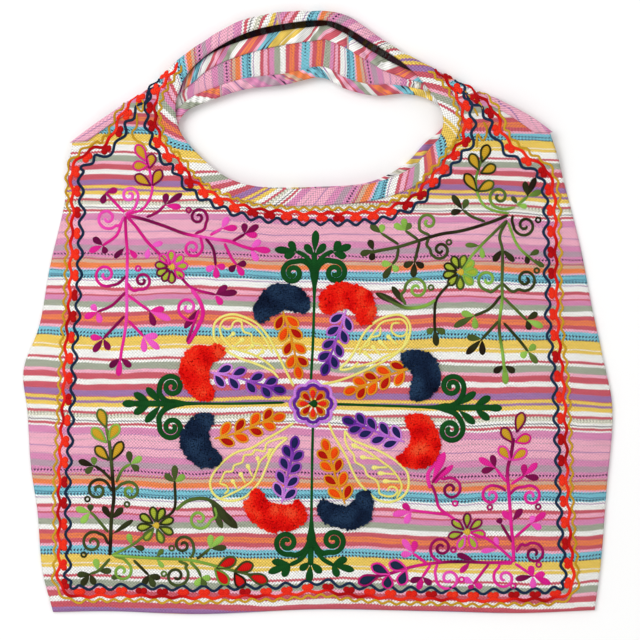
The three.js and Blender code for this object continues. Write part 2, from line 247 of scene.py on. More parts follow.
BACK_OUTLINE = Outline(
    left_arm=((0.038, 0.885), (-0.139, 0.846), (-0.316, 0.769), (-0.472, 0.646),
              (-0.568, 0.485), (-0.682, 0.308), (-0.838, 0.138), (-1.014, -0.04)),
    right_arm=((0.038, 0.885), (0.114, 0.823), (0.202, 0.715), (0.354, 0.562),
               (0.531, 0.458), (0.66, 0.325), (0.817, 0.177), (0.958, 0.03)),
    hole_left_arm=((0.03, 0.492), (-0.247, 0.438), (-0.553, 0.4), (-0.807, 0.315),
                   (-0.972, 0.24), (-1.04, 0.15), (-1.05, 0.07), (-1.02, -0.05)),
    hole_left_neck=((-0.882, -0.417), (-0.68, -0.854)),
    hole_bottom=((-0.419, -0.958), (0, -0.958), (0.389, -0.854)),
    hole_right_neck=((0.651, -0.479), (0.8, -0.042)),
    hole_right_arm=((0.912, 0.085), (0.957, 0.165), (0.912, 0.262), (0.793, 0.338),
                    (0.628, 0.369), (0.426, 0.354), (0.202, 0.408)),
)


@dataclass(frozen=True)
class Fold:
    """A soft fold: middle and half length as shares of the body, the rest of its height and puff."""

    x: float
    y: float
    turn: float
    length: float
    width: float
    height: float


FOLDS = (
    Fold(-0.74, 0.5, 74, 0.2, 0.045, -0.2),
    Fold(0.8, 0.52, 100, 0.22, 0.05, -0.22),
    Fold(-0.62, 0.86, 118, 0.15, 0.04, 0.14),
    Fold(0.6, 0.87, 62, 0.15, 0.04, 0.14),
    Fold(-0.3, 0.11, 8, 0.4, 0.05, -0.13),
    Fold(0.45, 0.16, 172, 0.35, 0.05, 0.12),
    Fold(0.1, 0.76, 2, 0.45, 0.045, -0.12),
)


class Ripples:
    """A small smooth unevenness made of a few seeded waves."""

    def __init__(self, seed: int, shortest: float, longest: float, count: int = 16) -> None:
        """Draws the waves.

        Args:
            seed: keeps the draw the same on each run.
            shortest: shortest wave length.
            longest: longest wave length.
            count: how many waves.
        """
        draw = np.random.default_rng(seed)
        length = draw.uniform(shortest, longest, count)
        turn = draw.uniform(0, math.tau, count)
        self.kx = math.tau * np.cos(turn) / length
        self.ky = math.tau * np.sin(turn) / length
        self.phase = draw.uniform(0, math.tau, count)
        self.weight = length / length.sum()

    def at(self, x: np.ndarray, y: np.ndarray) -> np.ndarray:
        """Height of the unevenness, about -1 to 1."""
        total = np.zeros(np.broadcast(x, y).shape)
        for kx, ky, phase, weight in zip(self.kx, self.ky, self.phase, self.weight):
            total += weight * np.sin(kx * x + ky * y + phase)
        return total * 2.2


def fold_height(x: np.ndarray, y: np.ndarray) -> np.ndarray:
    """Height that the soft folds add to the front panel."""
    height = np.zeros(x.shape)
    for fold in FOLDS:
        middle = SIZES.on_body((fold.x, fold.y))
        turn = math.radians(fold.turn)
        dx, dy = x - middle[0], y - middle[1]
        along = (dx * math.cos(turn) + dy * math.sin(turn)) / (fold.length * SIZES.body_width / 2)
        beside = (dy * math.cos(turn) - dx * math.sin(turn)) / (fold.width * SIZES.body_height)
        height += fold.height * SIZES.puff * np.exp(-along * along - beside * beside)
    return height


def back_level(y: np.ndarray) -> np.ndarray:
    """Level of the back layer, which climbs onto the tucked front handle."""
    low = SIZES.tucked_level
    rise = ease(y, SIZES.body_height, SIZES.body_height + SIZES.climb_share * SIZES.handle_rise)
    return mix(low, low + SIZES.layer_step, rise)


def bound_share(across: np.ndarray, y: np.ndarray) -> np.ndarray:
    """1 on the handles and beside the bound hole edge, 0 on the plain body."""
    beside = 1 - ease(across, SIZES.binding_width, SIZES.binding_width + SIZES.edge_fade)
    top = SIZES.body_height - SIZES.corner_reach
    return np.maximum(beside, ease(y, top - SIZES.corner_fade, top))


class Layer(Enum):
    """The two panels of the bag."""

    FRONT = "front"
    BACK = "back"


@dataclass(frozen=True)
class Grain:
    """How finely a panel is divided."""

    arm: int
    side: int
    bottom: int
    edge_rows: int
    middle_rows: int


@dataclass
class Panel:
    """One cut panel: columns run round the hole from the centre seam, rows run out to the edge."""

    layer: Layer
    outline: Outline
    grain: Grain
    arm_left: tuple
    arm_right: tuple
    neck_share: float = 0.065
    crown_power: float = 1.5
    full_share: float = 0.27
    roll_start: float = 0.84

    def __post_init__(self) -> None:
        """Works out the columns."""
        s = SIZES
        o = self.outline
        hole = [s.on_hole(p) for p in (*o.hole_left_arm, *o.hole_left_neck, *o.hole_bottom,
                                       *o.hole_right_neck, *o.hole_right_arm)]
        line = SmoothLine(hole, closed=True)
        corners = np.cumsum([0, len(o.hole_left_arm) - 1, len(o.hole_left_neck) + 1,
                             len(o.hole_bottom) - 1, len(o.hole_right_neck) + 1])
        up_arm = o.right_arm[::-1]
        left, right = s.on_arm(o.left_arm[-1]), s.on_arm(up_arm[0])
        g = self.grain
        outlines = [
            [s.on_arm(p) for p in o.left_arm],
            [left, *[s.on_body(p) for p in (*LEFT_SIDE, BOTTOM_LEFT)]],
            [s.on_body(p) for p in (BOTTOM_LEFT, *BOTTOM_EDGE, BOTTOM_RIGHT)],
            [*[s.on_body(p) for p in (BOTTOM_RIGHT, *RIGHT_SIDE)], right],
            [s.on_arm(p) for p in up_arm],
        ]
        steps = (g.arm, g.side, g.bottom, g.side, g.arm)
        spots = [*corners, len(hole)]
        holes, edges, arm_down, body_round = [], [], [], []
        done = 0
        for place, (points, count) in enumerate(zip(outlines, steps)):
            is_arm = place in (0, 4)
            share = np.arange(count + (place == 4)) / count
            holes.append(line.at(mix(spots[place], spots[place + 1], share) / len(hole)))
            edge = SmoothLine(points)
            edges.append(edge.at(share) if is_arm else edge.at_length(share))
            arm_down.append(share if place == 0 else 1 - share if place == 4 else np.full(len(share), -1.0))
            body_round.append(np.zeros(len(share)) if is_arm else (done + share * count))
            done += 0 if is_arm else count
        hole_at, edge_at = np.vstack(holes), np.vstack(edges)
        down = np.concatenate(arm_down)
        self.is_arm = down >= 0
        round_share = np.concatenate(body_round) / done
        self.down = np.where(self.is_arm, down, 1.0)
        out = edge_at - hole_at
        out /= np.linalg.norm(out, axis=1)[:, None]
        corner = np.where(self.is_arm, 0.0, np.minimum(round_share, 1 - round_share) * done)
        seamed = np.where(self.is_arm, 0.0, ease(corner, 0, g.side * 0.08))
        on_arm = np.where(self.is_arm, 1 - ease(self.down, self.roll_start, 1), 0.0)
        hole_at = hole_at + out * s.bound_inset
        back_inset = 2.9 if self.layer is Layer.BACK else 0.0
        edge_at = edge_at - out * (s.bound_inset * on_arm + back_inset * seamed)[:, None]
        self.hole, self.out = hole_at, out
        self.visible = np.linalg.norm(edge_at - hole_at, axis=1)
        rolls = self.layer is Layer.FRONT
        self.rolled = on_arm if rolls else np.zeros(len(down))
        self.turned = seamed if rolls else np.zeros(len(down))
        self.width = self.visible + self.rolled * np.maximum(0, s.handle_width - self.visible)
        self.width = self.width + self.turned * s.seam_turn * (math.pi / 2 - 1)
        full = ease(round_share, 0, self.full_share) * ease(1 - round_share, 0, self.full_share)
        self.fullness = np.where(self.is_arm, 0.0, full)
        self.ripples = Ripples(7 if rolls else 11, 34, 120)
        self.creases = Ripples(23 if rolls else 29, 9, 26)
        self.length = np.insert(np.cumsum(np.linalg.norm(np.diff(self.hole, axis=0), axis=1)), 0, 0)
        middle = self.hole + self.out * (self.visible / 2)[:, None]
        self.spine = np.insert(np.cumsum(np.linalg.norm(np.diff(middle, axis=0), axis=1)), 0, 0)

    def place(self, reach: np.ndarray) -> tuple:
        """Plan position of points that lie a reach out along each column."""
        hole, out = self.hole[:, None, :], self.out[:, None, :]
        spot = hole + out * reach[:, :, None]
        return spot[:, :, 0], spot[:, :, 1]

    def seam_dent(self, x: np.ndarray) -> np.ndarray:
        """Groove along the centre seam of the handle."""
        nearest = np.minimum(np.arange(len(x)), np.arange(len(x))[::-1])[:, None] * np.ones(x.shape)
        return 0.55 * np.exp(-((nearest / 1.6) ** 2))

    def soft(self, across: np.ndarray, x: np.ndarray, y: np.ndarray) -> np.ndarray:
        """Small unevenness of the cloth, stronger on the handles, none where edges meet."""
        arm = ease(y, SIZES.body_height - 10, SIZES.body_height + 30)
        wide = self.visible[:, None]
        hold = ease(across, 4, 26) * ease(wide - across, 2, 22)
        soft = self.ripples.at(x, y) * mix(1.5, 0.5, arm)
        return (soft + self.creases.at(x, y) * mix(0.28, 0.45, arm)) * hold

    def lay(self, across: np.ndarray) -> tuple:
        """Reach and height of the middle of the cloth.

        Args:
            across: distances from the hole's edge, a row of them for each column.

        Returns:
            Distances out along each column, and heights above the table.
        """
        across = np.clip(across, 0, self.width[:, None])
        return self.lay_front(across) if self.layer is Layer.FRONT else self.lay_back(across)

    def lay_back(self, across: np.ndarray) -> tuple:
        """The back panel lies flat and climbs at the handle."""
        x, y = self.place(across)
        height = mix(SIZES.cloth / 2, back_level(y), bound_share(across, y))
        arm = ease(y, SIZES.body_height + 18, SIZES.body_height + 34)
        wide = self.visible[:, None]
        hold = ease(across, 2, 14) * ease(wide - across, 2, 14)
        swell = (0.8 + self.ripples.at(x, y) * 0.8 + self.creases.at(x, y) * 0.4) * hold * arm
        return across, height + swell - self.seam_dent(x)

    def top_height(self, across: np.ndarray) -> np.ndarray:
        """Height of the front panel up to its fold."""
        s = SIZES
        x, y = self.place(across)
        level = mix(s.seam_level, back_level(y) + s.layer_step, bound_share(across, y))
        share = np.clip(across / self.visible[:, None], 0, 1)
        turned = np.sin(np.pi * mix(self.neck_share, 1, share))
        crown = (s.puff + fold_height(x, y)) * (1 - np.power(1 - np.maximum(0, turned), self.crown_power))
        neck = s.neck_lift * (1 - ease(across, 0, s.binding_width + s.edge_fade))
        rise = self.fullness[:, None] * np.maximum(crown, neck)
        return level + rise + self.soft(across, x, y) - self.seam_dent(x)

    def lay_front(self, across: np.ndarray) -> tuple:
        """The front rises over the body, and folds round and under along the handle."""
        s = SIZES
        edge_y = (self.hole[:, 1] + self.out[:, 1] * self.visible)[:, None]
        radius = (back_level(edge_y) + s.layer_step - s.tucked_level) / 2
        visible, rolled, turned = (v[:, None] for v in (self.visible, self.rolled, self.turned))
        flat = visible - rolled * (radius + s.cloth / 2) - turned * s.seam_turn
        folding = (rolled > 0) | (turned > 0)
        run = np.where(folding, np.minimum(across, flat), across)
        top = self.top_height(run)
        roll = np.maximum((top - s.tucked_level) / 2, 0.1)
        bend = np.where(rolled > 0, roll, s.seam_turn)
        limit = np.where(rolled > 0, np.pi, np.pi / 2)
        past = np.where(folding, np.maximum(0, across - flat), 0)
        angle = np.minimum(past / bend, limit)
        tucked = np.where(rolled > 0, np.maximum(0, past - np.pi * bend), 0)
        reach = run + bend * np.sin(angle) - tucked
        return reach, top - bend * (1 - np.cos(angle))

    def point(self, across: np.ndarray, lift: np.ndarray) -> np.ndarray:
        """Points lifted off the cloth along its own normal.

        Args:
            across: distances from the hole's edge; past an edge they run straight on.
            lift: distances off the middle of the cloth.

        Returns:
            x, y and z of each point.
        """
        wide = self.width[:, None]
        held = np.clip(across, 0, wide)
        before = self.lay(np.maximum(0, held - 0.4))
        after = self.lay(np.minimum(wide, held + 0.4))
        slope = np.stack([after[0] - before[0], after[1] - before[1]])
        slope /= np.maximum(np.linalg.norm(slope, axis=0), 1e-9)
        reach, height = self.lay(held)
        reach = reach + slope[0] * (across - held) - slope[1] * lift
        height = height + slope[1] * (across - held) + slope[0] * lift
        x, y = self.place(reach)
        return np.stack([x, y, height], axis=-1)

    @property
    def run(self) -> np.ndarray:
        """How far a binding reaches in from the edge of each column."""
        return np.minimum(SIZES.binding_width, SIZES.gather_share * self.width)

    def rows(self) -> np.ndarray:
        """Distances across each column at which the cloth is divided."""
        g = self.grain
        run = self.run[:, None]
        edge = np.arange(g.edge_rows) / g.edge_rows
        middle = np.linspace(0, 1, g.middle_rows + 1)
        far = np.arange(1, g.edge_rows + 1) / g.edge_rows
        wide = self.width[:, None]
        return np.hstack([run * edge, mix(run, wide - run, middle), wide - run + run * far])

    def stripes(self, across: np.ndarray) -> np.ndarray:
        """Cloth coordinates: thread run and distance along the stripe repeat."""
        x, y = self.place(across)
        body = body_stripe(x, y)
        if self.layer is Layer.BACK:
            body = -body
        count = len(self.hole)
        half = count // 2
        level = SIZES.body_height + 26
        from_seam = np.where(np.arange(count) < half, self.spine, self.spine[-1] - self.spine)
        arm = np.zeros(count)
        for table, side in ((self.arm_left, slice(0, half)), (self.arm_right, slice(half, count))):
            at, repeat = np.array(table).T
            arm[side] = np.interp(from_seam[side], at, repeat)
            meet = np.argmin(np.abs(self.hole[side, 1] - level)) + (side.start or 0)
            here = body_stripe(*self.hole[meet]) * (-1 if self.layer is Layer.BACK else 1)
            if self.layer is Layer.FRONT:
                arm[side] += here - arm[meet]
            elif side.start == 0:
                body = body + arm[meet] - here
        low = ease(y, level - 20, level + 22)
        share = low * np.where(self.is_arm, 1.0, 0.0)[:, None]
        thread = mix(x, across, share)
        return np.stack([thread, mix(body, arm[:, None], share)], axis=-1)


def body_stripe(x: np.ndarray, y: np.ndarray) -> np.ndarray:
    """Distance along the stripe repeat on the body, growing downwards."""
    tilt = 5.4 * (x + 222) / 444
    wave = 0.9 * np.sin(x / 33 + y / 61) + 0.6 * np.sin(x / 17 - y / 43 + 1)
    drop = 228.8 - y - tilt + wave
    return STRIPE_REPEAT + np.where(drop > 0, drop, drop - 0.000675 * drop * drop)


STRIPE_REPEAT = 175.2


@dataclass(frozen=True)
class Shade:
    """A yarn colour in the way a paint box gives it, red, green and blue up to 255."""

    red: int
    green: int
    blue: int

    def linear(self, gain: float = 1.0) -> tuple:
        """The colour as linear light with full cover.

        Args:
            gain: multiplies the light.

        Returns:
            Four values, the last one 1.
        """
        parts = []
        for value in (self.red, self.green, self.blue):
            share = value / 255
            light = share / 12.92 if share <= 0.04045 else ((share + 0.055) / 1.055) ** 2.4
            parts.append(min(1.0, light * gain))
        return (*parts, 1.0)


ROSE = Shade(200, 92, 104)
PINK = Shade(234, 172, 192)
ORCHID = Shade(214, 138, 178)
MAUVE = Shade(180, 152, 166)
SAGE = Shade(160, 166, 148)
WHITE = Shade(238, 237, 233)
YELLOW = Shade(232, 198, 96)
BLUE = Shade(122, 190, 206)
ORANGE = Shade(232, 130, 80)
PURPLE = Shade(156, 116, 166)
TAN = Shade(206, 170, 145)
DARK = Shade(56, 40, 60)
CREAM = Shade(226, 222, 205)
DEEP_BLUE = Shade(62, 96, 120)

# Length of thread from one dot to the next in a dotted line
DOT_PITCH = 2.7

# The stripes of the cloth from top to bottom, each with its width in shares of the whole repeat
STRIPES = (
    (BLUE, 8), (YELLOW, 8), (WHITE, 1), (YELLOW, 3), (WHITE, 7), (ROSE, 2.5), (WHITE, 3), (SAGE, 6),
    (PINK, 3), (ROSE, 6), (WHITE, 5), (ROSE, 5.5), (PURPLE, 6), (ROSE, 1), (YELLOW, 2.5), (PURPLE, 3),
    (YELLOW, 4), (WHITE, 4), (ROSE, 2.5), (CREAM, 4), (WHITE, 2), (DARK, 1), (WHITE, 2), (ROSE, 2.5),
    (WHITE, 1.5), (ORCHID, 6), (PINK, 5), (PURPLE, 0.6), (PINK, 7), (PURPLE, 0.6), (PINK, 6.8),
    (ORCHID, 6), (MAUVE, 6), (ORCHID, 3), (ORCHID, 1.5), (ORCHID, 2), (TAN, 1), (ROSE, 1.5), (TAN, 3),
    (ORANGE, 5.5), (PINK, 1.5), (BLUE, 4.2), (DEEP_BLUE, 0.9), (BLUE, 3.9), (WHITE, 1.5), (PURPLE, 1),
    (WHITE, 5), (ROSE, 3.5), (PINK, 4.5), (ROSE, 1.5), (ORCHID, 5), (SAGE, 5), (WHITE, 5), (ROSE, 4),
    (ORANGE, 5), (ROSE, 4), (PINK, 3),
)

# Dotted lines over the stripes: where in the repeat, how wide, and their colour
DOTTED = (
    (3.4, 1.5, DARK), (7.2, 1.6, DARK), (81.8, 1.2, SAGE), (83.6, 1.2, SAGE), (101.0, 0.9, PURPLE),
    (105.5, 0.9, MAUVE), (113.0, 0.9, PURPLE), (120.0, 0.9, MAUVE), (135.0, 1.7, DARK), (139.5, 1.0,
                                                                                         PURPLE),
    (152.0, 1.4, DARK), (158.2, 1.5, DARK), (198.3, 1.2, ROSE),
)


class NodePen:
    """Adds and joins shader nodes in one tree."""

    def __init__(self, tree: bpy.types.NodeTree) -> None:
        """Keeps the tree."""
        self.tree = tree

    def add(self, kind: str, **values) -> bpy.types.Node:
        """Adds a node.

        Args:
            kind: the node's type.
            values: settings of the node, and inputs where a name starts with in_.

        Returns:
            The new node.
        """
        node = self.tree.nodes.new(kind)
        for name, value in values.items():
            if name.startswith("in_"):
                self.feed(node.inputs[int(name[3:])], value)
            else:
                setattr(node, name, value)
        return node

    def feed(self, socket: bpy.types.NodeSocket, value: "bpy.types.NodeSocket | float") -> None:
        """Links a socket to an output, or sets its own value."""
        if isinstance(value, bpy.types.NodeSocket):
            self.tree.links.new(value, socket)
        else:
            socket.default_value = value

    def math(self, operation: str, first: "bpy.types.NodeSocket | float",
             second: "bpy.types.NodeSocket | float" = 0.0, clamp: bool = False) -> bpy.types.NodeSocket:
        """Result of an operation on one or two values, held between 0 and 1 where clamp is true."""
        node = self.add("ShaderNodeMath", operation=operation, use_clamp=clamp, in_0=first, in_1=second)
        return node.outputs[0]

    def times(self, first: "bpy.types.NodeSocket | float",
              second: "bpy.types.NodeSocket | float") -> bpy.types.NodeSocket:
        """The product of two values."""
        return self.math("MULTIPLY", first, second)

    def plus(self, first: "bpy.types.NodeSocket | float",
             second: "bpy.types.NodeSocket | float") -> bpy.types.NodeSocket:
        """The sum of two values."""
        return self.math("ADD", first, second)

    def swing(self, value: "bpy.types.NodeSocket | float",
              amount: "bpy.types.NodeSocket | float") -> bpy.types.NodeSocket:
        """A value from 0 to 1 turned into a swing of an amount about 0."""
        return self.times(self.math("SUBTRACT", value, 0.5), amount)

    def noise(self, x: "bpy.types.NodeSocket | float", y: "bpy.types.NodeSocket | float" = 0.0,
              detail: float = 2.0, scale: float = 1.0) -> bpy.types.NodeSocket:
        """Noise from 0 to 1 over two coordinates."""
        vector = self.add("ShaderNodeCombineXYZ", in_0=x, in_1=y)
        node = self.add("ShaderNodeTexNoise", in_0=vector.outputs[0], noise_dimensions="2D")
        node.inputs["Scale"].default_value = scale
        node.inputs["Detail"].default_value = detail
        return node.outputs[0]

    def blend(self, share: "bpy.types.NodeSocket | float", first: "bpy.types.NodeSocket | float",
              second: "bpy.types.NodeSocket | float") -> bpy.types.NodeSocket:
        """The first colour with a share of the second."""
        node = self.add("ShaderNodeMix", data_type="RGBA", blend_type="MIX")
        for place, value in ((0, share), (6, first), (7, second)):
            self.feed(node.inputs[place], value)
        return node.outputs[2]

    def shaded(self, colour: "bpy.types.NodeSocket | float",
               level: "bpy.types.NodeSocket | float") -> bpy.types.NodeSocket:
        """A colour made lighter or darker."""
        node = self.add("ShaderNodeVectorMath", operation="SCALE")
        self.feed(node.inputs[0], colour)
        self.feed(node.inputs[3], level)
        return node.outputs[0]

    def relief(self, shader: bpy.types.Node, height: "bpy.types.NodeSocket | float", strength: float,
               distance: float) -> None:
        """Raises a shader's surface by a height, up to a distance in metres."""
        bump = self.add("ShaderNodeBump")
        bump.inputs["Strength"].default_value = strength
        bump.inputs["Distance"].default_value = distance
        self.feed(bump.inputs["Height"], height)
        self.feed(shader.inputs["Normal"], bump.outputs[0])

    def ramp(self, factor: "bpy.types.NodeSocket | float", stops: list,
             interpolation: str = "LINEAR") -> bpy.types.Node:
        """A colour ramp.

        Args:
            factor: what drives the ramp.
            stops: (place, colour) pairs in order.
            interpolation: how the ramp goes from stop to stop.

        Returns:
            The ramp node.
        """
        node = self.add("ShaderNodeValToRGB", in_0=factor)
        ramp = node.color_ramp
        ramp.interpolation = interpolation
        while len(ramp.elements) > 1:
            ramp.elements.remove(ramp.elements[-1])
        ramp.elements[0].position, ramp.elements[0].color = stops[0]
        for place, colour in stops[1:]:
            ramp.elements.new(place).color = colour
        return node


def new_group(name: str, inputs: dict, outputs: dict) -> tuple:
    """Starts a shader node group.

    Args:
        name: the group's name.
        inputs: default value of each float input.
        outputs: socket type of each output.

    Returns:
        The group, its pen, its input node and its output node.
    """
    group = bpy.data.node_groups.new(name, "ShaderNodeTree")
    for label, value in inputs.items():
        socket = group.interface.new_socket(label, in_out="INPUT", socket_type="NodeSocketFloat")
        socket.default_value = value
    for label, kind in outputs.items():
        group.interface.new_socket(label, in_out="OUTPUT", socket_type=kind)
    pen = NodePen(group)
    return group, pen, pen.add("NodeGroupInput"), pen.add("NodeGroupOutput")


def striped_weave_group() -> bpy.types.NodeTree:
    """The cloth's stripes and coarse weave, from its own thread coordinates in millimetres.

    Returns:
        A group with the colour of the yarn, with painted light and shade on the weave, and the height of
        the weave.
    """
    group, pen, given, out = new_group(
        "striped_weave",
        {"Thread": 0.0, "Stripe": 0.0, "Tooth": 0.5, "Weave": 2.5},
        {"Color": "NodeSocketColor", "Height": "NodeSocketFloat"},
    )
    thread, stripe, tooth, weave = (given.outputs[n] for n in ("Thread", "Stripe", "Tooth", "Weave"))
    cell = pen.math("FRACT", pen.math("DIVIDE", thread, weave))
    zigzag = pen.math("SUBTRACT", pen.math("ABSOLUTE", pen.math("SUBTRACT", cell, 0.5)), 0.25)
    drift = pen.noise(pen.times(thread, 0.045), pen.times(stripe, 0.06), 3.0)
    wander = pen.plus(pen.swing(drift, 2.4), pen.times(zigzag, pen.times(tooth, 4.0)))
    phase = pen.math("FRACT", pen.math("DIVIDE", pen.plus(stripe, wander), STRIPE_REPEAT))
    total = sum(width for _, width in STRIPES)
    places = np.insert(np.cumsum([width for _, width in STRIPES])[:-1] / total, 0, 0)
    stops = [(float(at), shade.linear()) for at, (shade, _) in zip(places, STRIPES)]
    half = len(stops) // 2
    first = pen.ramp(phase, stops[:half], "CONSTANT")
    second = pen.ramp(phase, [(0.0, stops[half - 1][1]), *stops[half:]], "CONSTANT")
    cut = pen.math("GREATER_THAN", phase, float(places[half]))
    base = pen.blend(cut, first.outputs[0], second.outputs[0])
    lines = [(0.0, (0, 0, 0, 0))]
    for at, width, shade in DOTTED:
        low, high = (at - width / 2) / total, (at + width / 2) / total
        lines += [(low, shade.linear()), (high, (*shade.linear()[:3], 0.0))]
    dots = pen.ramp(phase, lines, "CONSTANT")
    beat = pen.math("GREATER_THAN", pen.math("SINE", pen.times(thread, math.tau / DOT_PITCH)), -0.15)
    base = pen.blend(pen.times(dots.outputs[1], beat), base, dots.outputs[0])
    over, under = (
        pen.math("SINE", pen.times(pen.math("DIVIDE", way, weave), math.tau)) for way in (thread, stripe)
    )
    height = pen.plus(pen.times(pen.times(over, under), 0.5), 0.5)
    slub = pen.noise(pen.times(thread, 0.06), pen.times(stripe, 0.9), 4.0)
    fleck = pen.noise(pen.times(thread, 0.8), pen.times(stripe, 0.8))
    # Painted light and shade: raised threads lighter and dips darker; slubs and flecks are the yarn's own
    # uneven tone
    tone = pen.plus(pen.times(height, 0.62), 0.62)
    tone = pen.plus(pen.plus(tone, pen.swing(slub, 0.3)), pen.swing(fleck, 0.6))
    pen.feed(out.inputs[0], pen.shaded(base, tone))
    pen.feed(out.inputs[1], height)
    return group


def yarn_twist_group() -> bpy.types.NodeTree:
    """Chain stitches and stray fibres of an embroidery yarn.

    Returns:
        A group with the height of the stitches and a mask of painted shade between them.
    """
    group, pen, given, out = new_group(
        "yarn_twist",
        {"Along": 0.0, "Around": 0.0, "Pitch": 1.6, "Fuzz": 0.5},
        {"Height": "NodeSocketFloat", "Shade": "NodeSocketFloat"},
    )
    along, around, pitch, fuzz = (given.outputs[n] for n in ("Along", "Around", "Pitch", "Fuzz"))
    slant = pen.math("ABSOLUTE", pen.math("SUBTRACT", around, 0.5))
    turn = pen.plus(pen.math("DIVIDE", along, pitch), pen.times(slant, 1.6))
    ply = pen.math("ABSOLUTE", pen.math("SINE", pen.times(turn, math.pi)))
    stray = pen.times(pen.noise(along, pen.times(around, 6.0), 4.0, 2.4), fuzz)
    pen.feed(out.inputs[0], pen.plus(ply, stray))
    # Painted shade darkens the grooves between the plies; stray fibres lift it a little
    pen.feed(out.inputs[1], pen.plus(pen.plus(pen.times(ply, 0.42), 0.52), pen.times(stray, 0.5)))
    return group


@dataclass(frozen=True)
class ClothFinish:
    """Coarse woven cotton in coloured stripes, with painted shade where it lies deep under the handle."""

    name: str
    tooth: float = 0.5
    weave: float = 2.5
    relief: float = 0.0003
    # Near-black colour of the painted shade under the handle's fold
    shade_colour: tuple = (0.012, 0.006, 0.006, 1.0)

    def material(self, groups: dict) -> bpy.types.Material:
        """Builds the cloth's material from the shared node groups."""
        material, pen, shader = plain_material(self.name, 0.9, 0.02)
        uv = pen.add("ShaderNodeUVMap", uv_map="cloth")
        parts = pen.add("ShaderNodeSeparateXYZ", in_0=uv.outputs[0])
        weave = pen.add("ShaderNodeGroup", node_tree=groups["striped_weave"])
        pen.feed(weave.inputs["Thread"], parts.outputs[0])
        pen.feed(weave.inputs["Stripe"], parts.outputs[1])
        weave.inputs["Tooth"].default_value = self.tooth
        weave.inputs["Weave"].default_value = self.weave
        # Painted shade: the cloth turns towards the near-black colour by each point's mask of shade under
        # the handle
        painted_shade = pen.add("ShaderNodeAttribute", attribute_name="painted_shade")
        shade = pen.times(painted_shade.outputs["Fac"], 0.93)
        pen.feed(shader.inputs["Base Color"], pen.blend(shade, weave.outputs["Color"], self.shade_colour))
        pen.relief(shader, weave.outputs["Height"], 0.6, self.relief)
        return material


@dataclass(frozen=True)
class ThreadFinish:
    """Soft twisted yarn whose colour runs from a dark to a light shade along its length."""

    name: str
    shades: tuple
    drift: float = 0.22
    run: float = 26.0
    pitch: float = 1.6
    fuzz: float = 0.5
    relief: float = 0.00025

    def material(self, groups: dict) -> bpy.types.Material:
        """Builds the yarn's material from the shared node groups."""
        material, pen, shader = plain_material(self.name, 0.7, 0.03)
        uv = pen.add("ShaderNodeUVMap", uv_map="yarn")
        parts = pen.add("ShaderNodeSeparateXYZ", in_0=uv.outputs[0])
        tone = pen.add("ShaderNodeAttribute", attribute_name="tone")
        drift = pen.noise(pen.math("DIVIDE", parts.outputs[0], self.run))
        level = pen.math("ADD", tone.outputs["Fac"], pen.swing(drift, self.drift * 2), clamp=True)
        last = len(self.shades) - 1
        colour = pen.ramp(level, [(at / last, shade.linear()) for at, shade in enumerate(self.shades)])
        twist = pen.add("ShaderNodeGroup", node_tree=groups["yarn_twist"])
        pen.feed(twist.inputs["Along"], parts.outputs[0])
        pen.feed(twist.inputs["Around"], parts.outputs[1])
        twist.inputs["Pitch"].default_value = self.pitch
        twist.inputs["Fuzz"].default_value = self.fuzz
        # The twist's mask paints shade between the yarn's stitches
        pen.feed(shader.inputs["Base Color"], pen.shaded(colour.outputs[0], twist.outputs["Shade"]))
        pen.relief(shader, twist.outputs["Height"], 0.7, self.relief)
        return material


def plain_material(name: str, roughness: float, specular: float = 0.5) -> tuple:
    """Starts a material with a Principled shader.

    Args:
        name: the material's name.
        roughness: how rough it is.
        specular: how strongly it shines.

    Returns:
        The material, its pen and its shader node.
    """
    material = bpy.data.materials.new(name)
    material.use_nodes = True
    pen = NodePen(material.node_tree)
    shader = next(n for n in material.node_tree.nodes if n.type == "BSDF_PRINCIPLED")
    shader.inputs["Roughness"].default_value = roughness
    shader.inputs["Specular IOR Level"].default_value = specular
    return material, pen, shader


def cut_origin() -> np.ndarray:
    """Where the cut's origin lies in the frame, from the rosette and the underside of the back."""
    low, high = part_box("rosette")
    middle = (np.array(low) + np.array(high))[:2] / 2
    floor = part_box("back_panel")[0][2]
    return np.array([*(middle - SIZES.centre * MM), floor])


ORIGIN = cut_origin()


def metres(points: np.ndarray) -> np.ndarray:
    """Points in the cut's millimetres turned into the frame's metres."""
    return np.asarray(points) * MM + ORIGIN


def mesh_piece(name: str, points: np.ndarray, faces: list, uv: np.ndarray, uv_name: str, mask: str,
               values: np.ndarray, material: bpy.types.Material) -> bpy.types.Object:
    """Makes a smooth mesh object.

    Args:
        name: the piece's name.
        points: corners in the cut's millimetres.
        faces: the corners of each face.
        uv: map coordinates of each face's corners in turn.
        uv_name: name of the map.
        mask: name of a value that each point holds for the material.
        values: that value.
        material: the piece's material.

    Returns:
        The object, linked to the scene.
    """
    mesh = bpy.data.meshes.new(name)
    mesh.from_pydata(metres(points).tolist(), [], faces)
    mesh.uv_layers.new(name=uv_name).uv.foreach_set("vector", np.asarray(uv, np.float32).ravel())
    held = mesh.attributes.new(mask, "FLOAT", "POINT")
    held.data.foreach_set("value", np.asarray(values, np.float32))
    mesh.polygons.foreach_set("use_smooth", np.ones(len(mesh.polygons), bool))
    mesh.materials.append(material)
    mesh.update()
    return link(name, mesh)


def link(name: str, data: bpy.types.ID) -> bpy.types.Object:
    """Links an object that holds a mesh, light or camera to the scene."""
    thing = bpy.data.objects.new(name, data)
    bpy.context.scene.collection.objects.link(thing)
    return thing




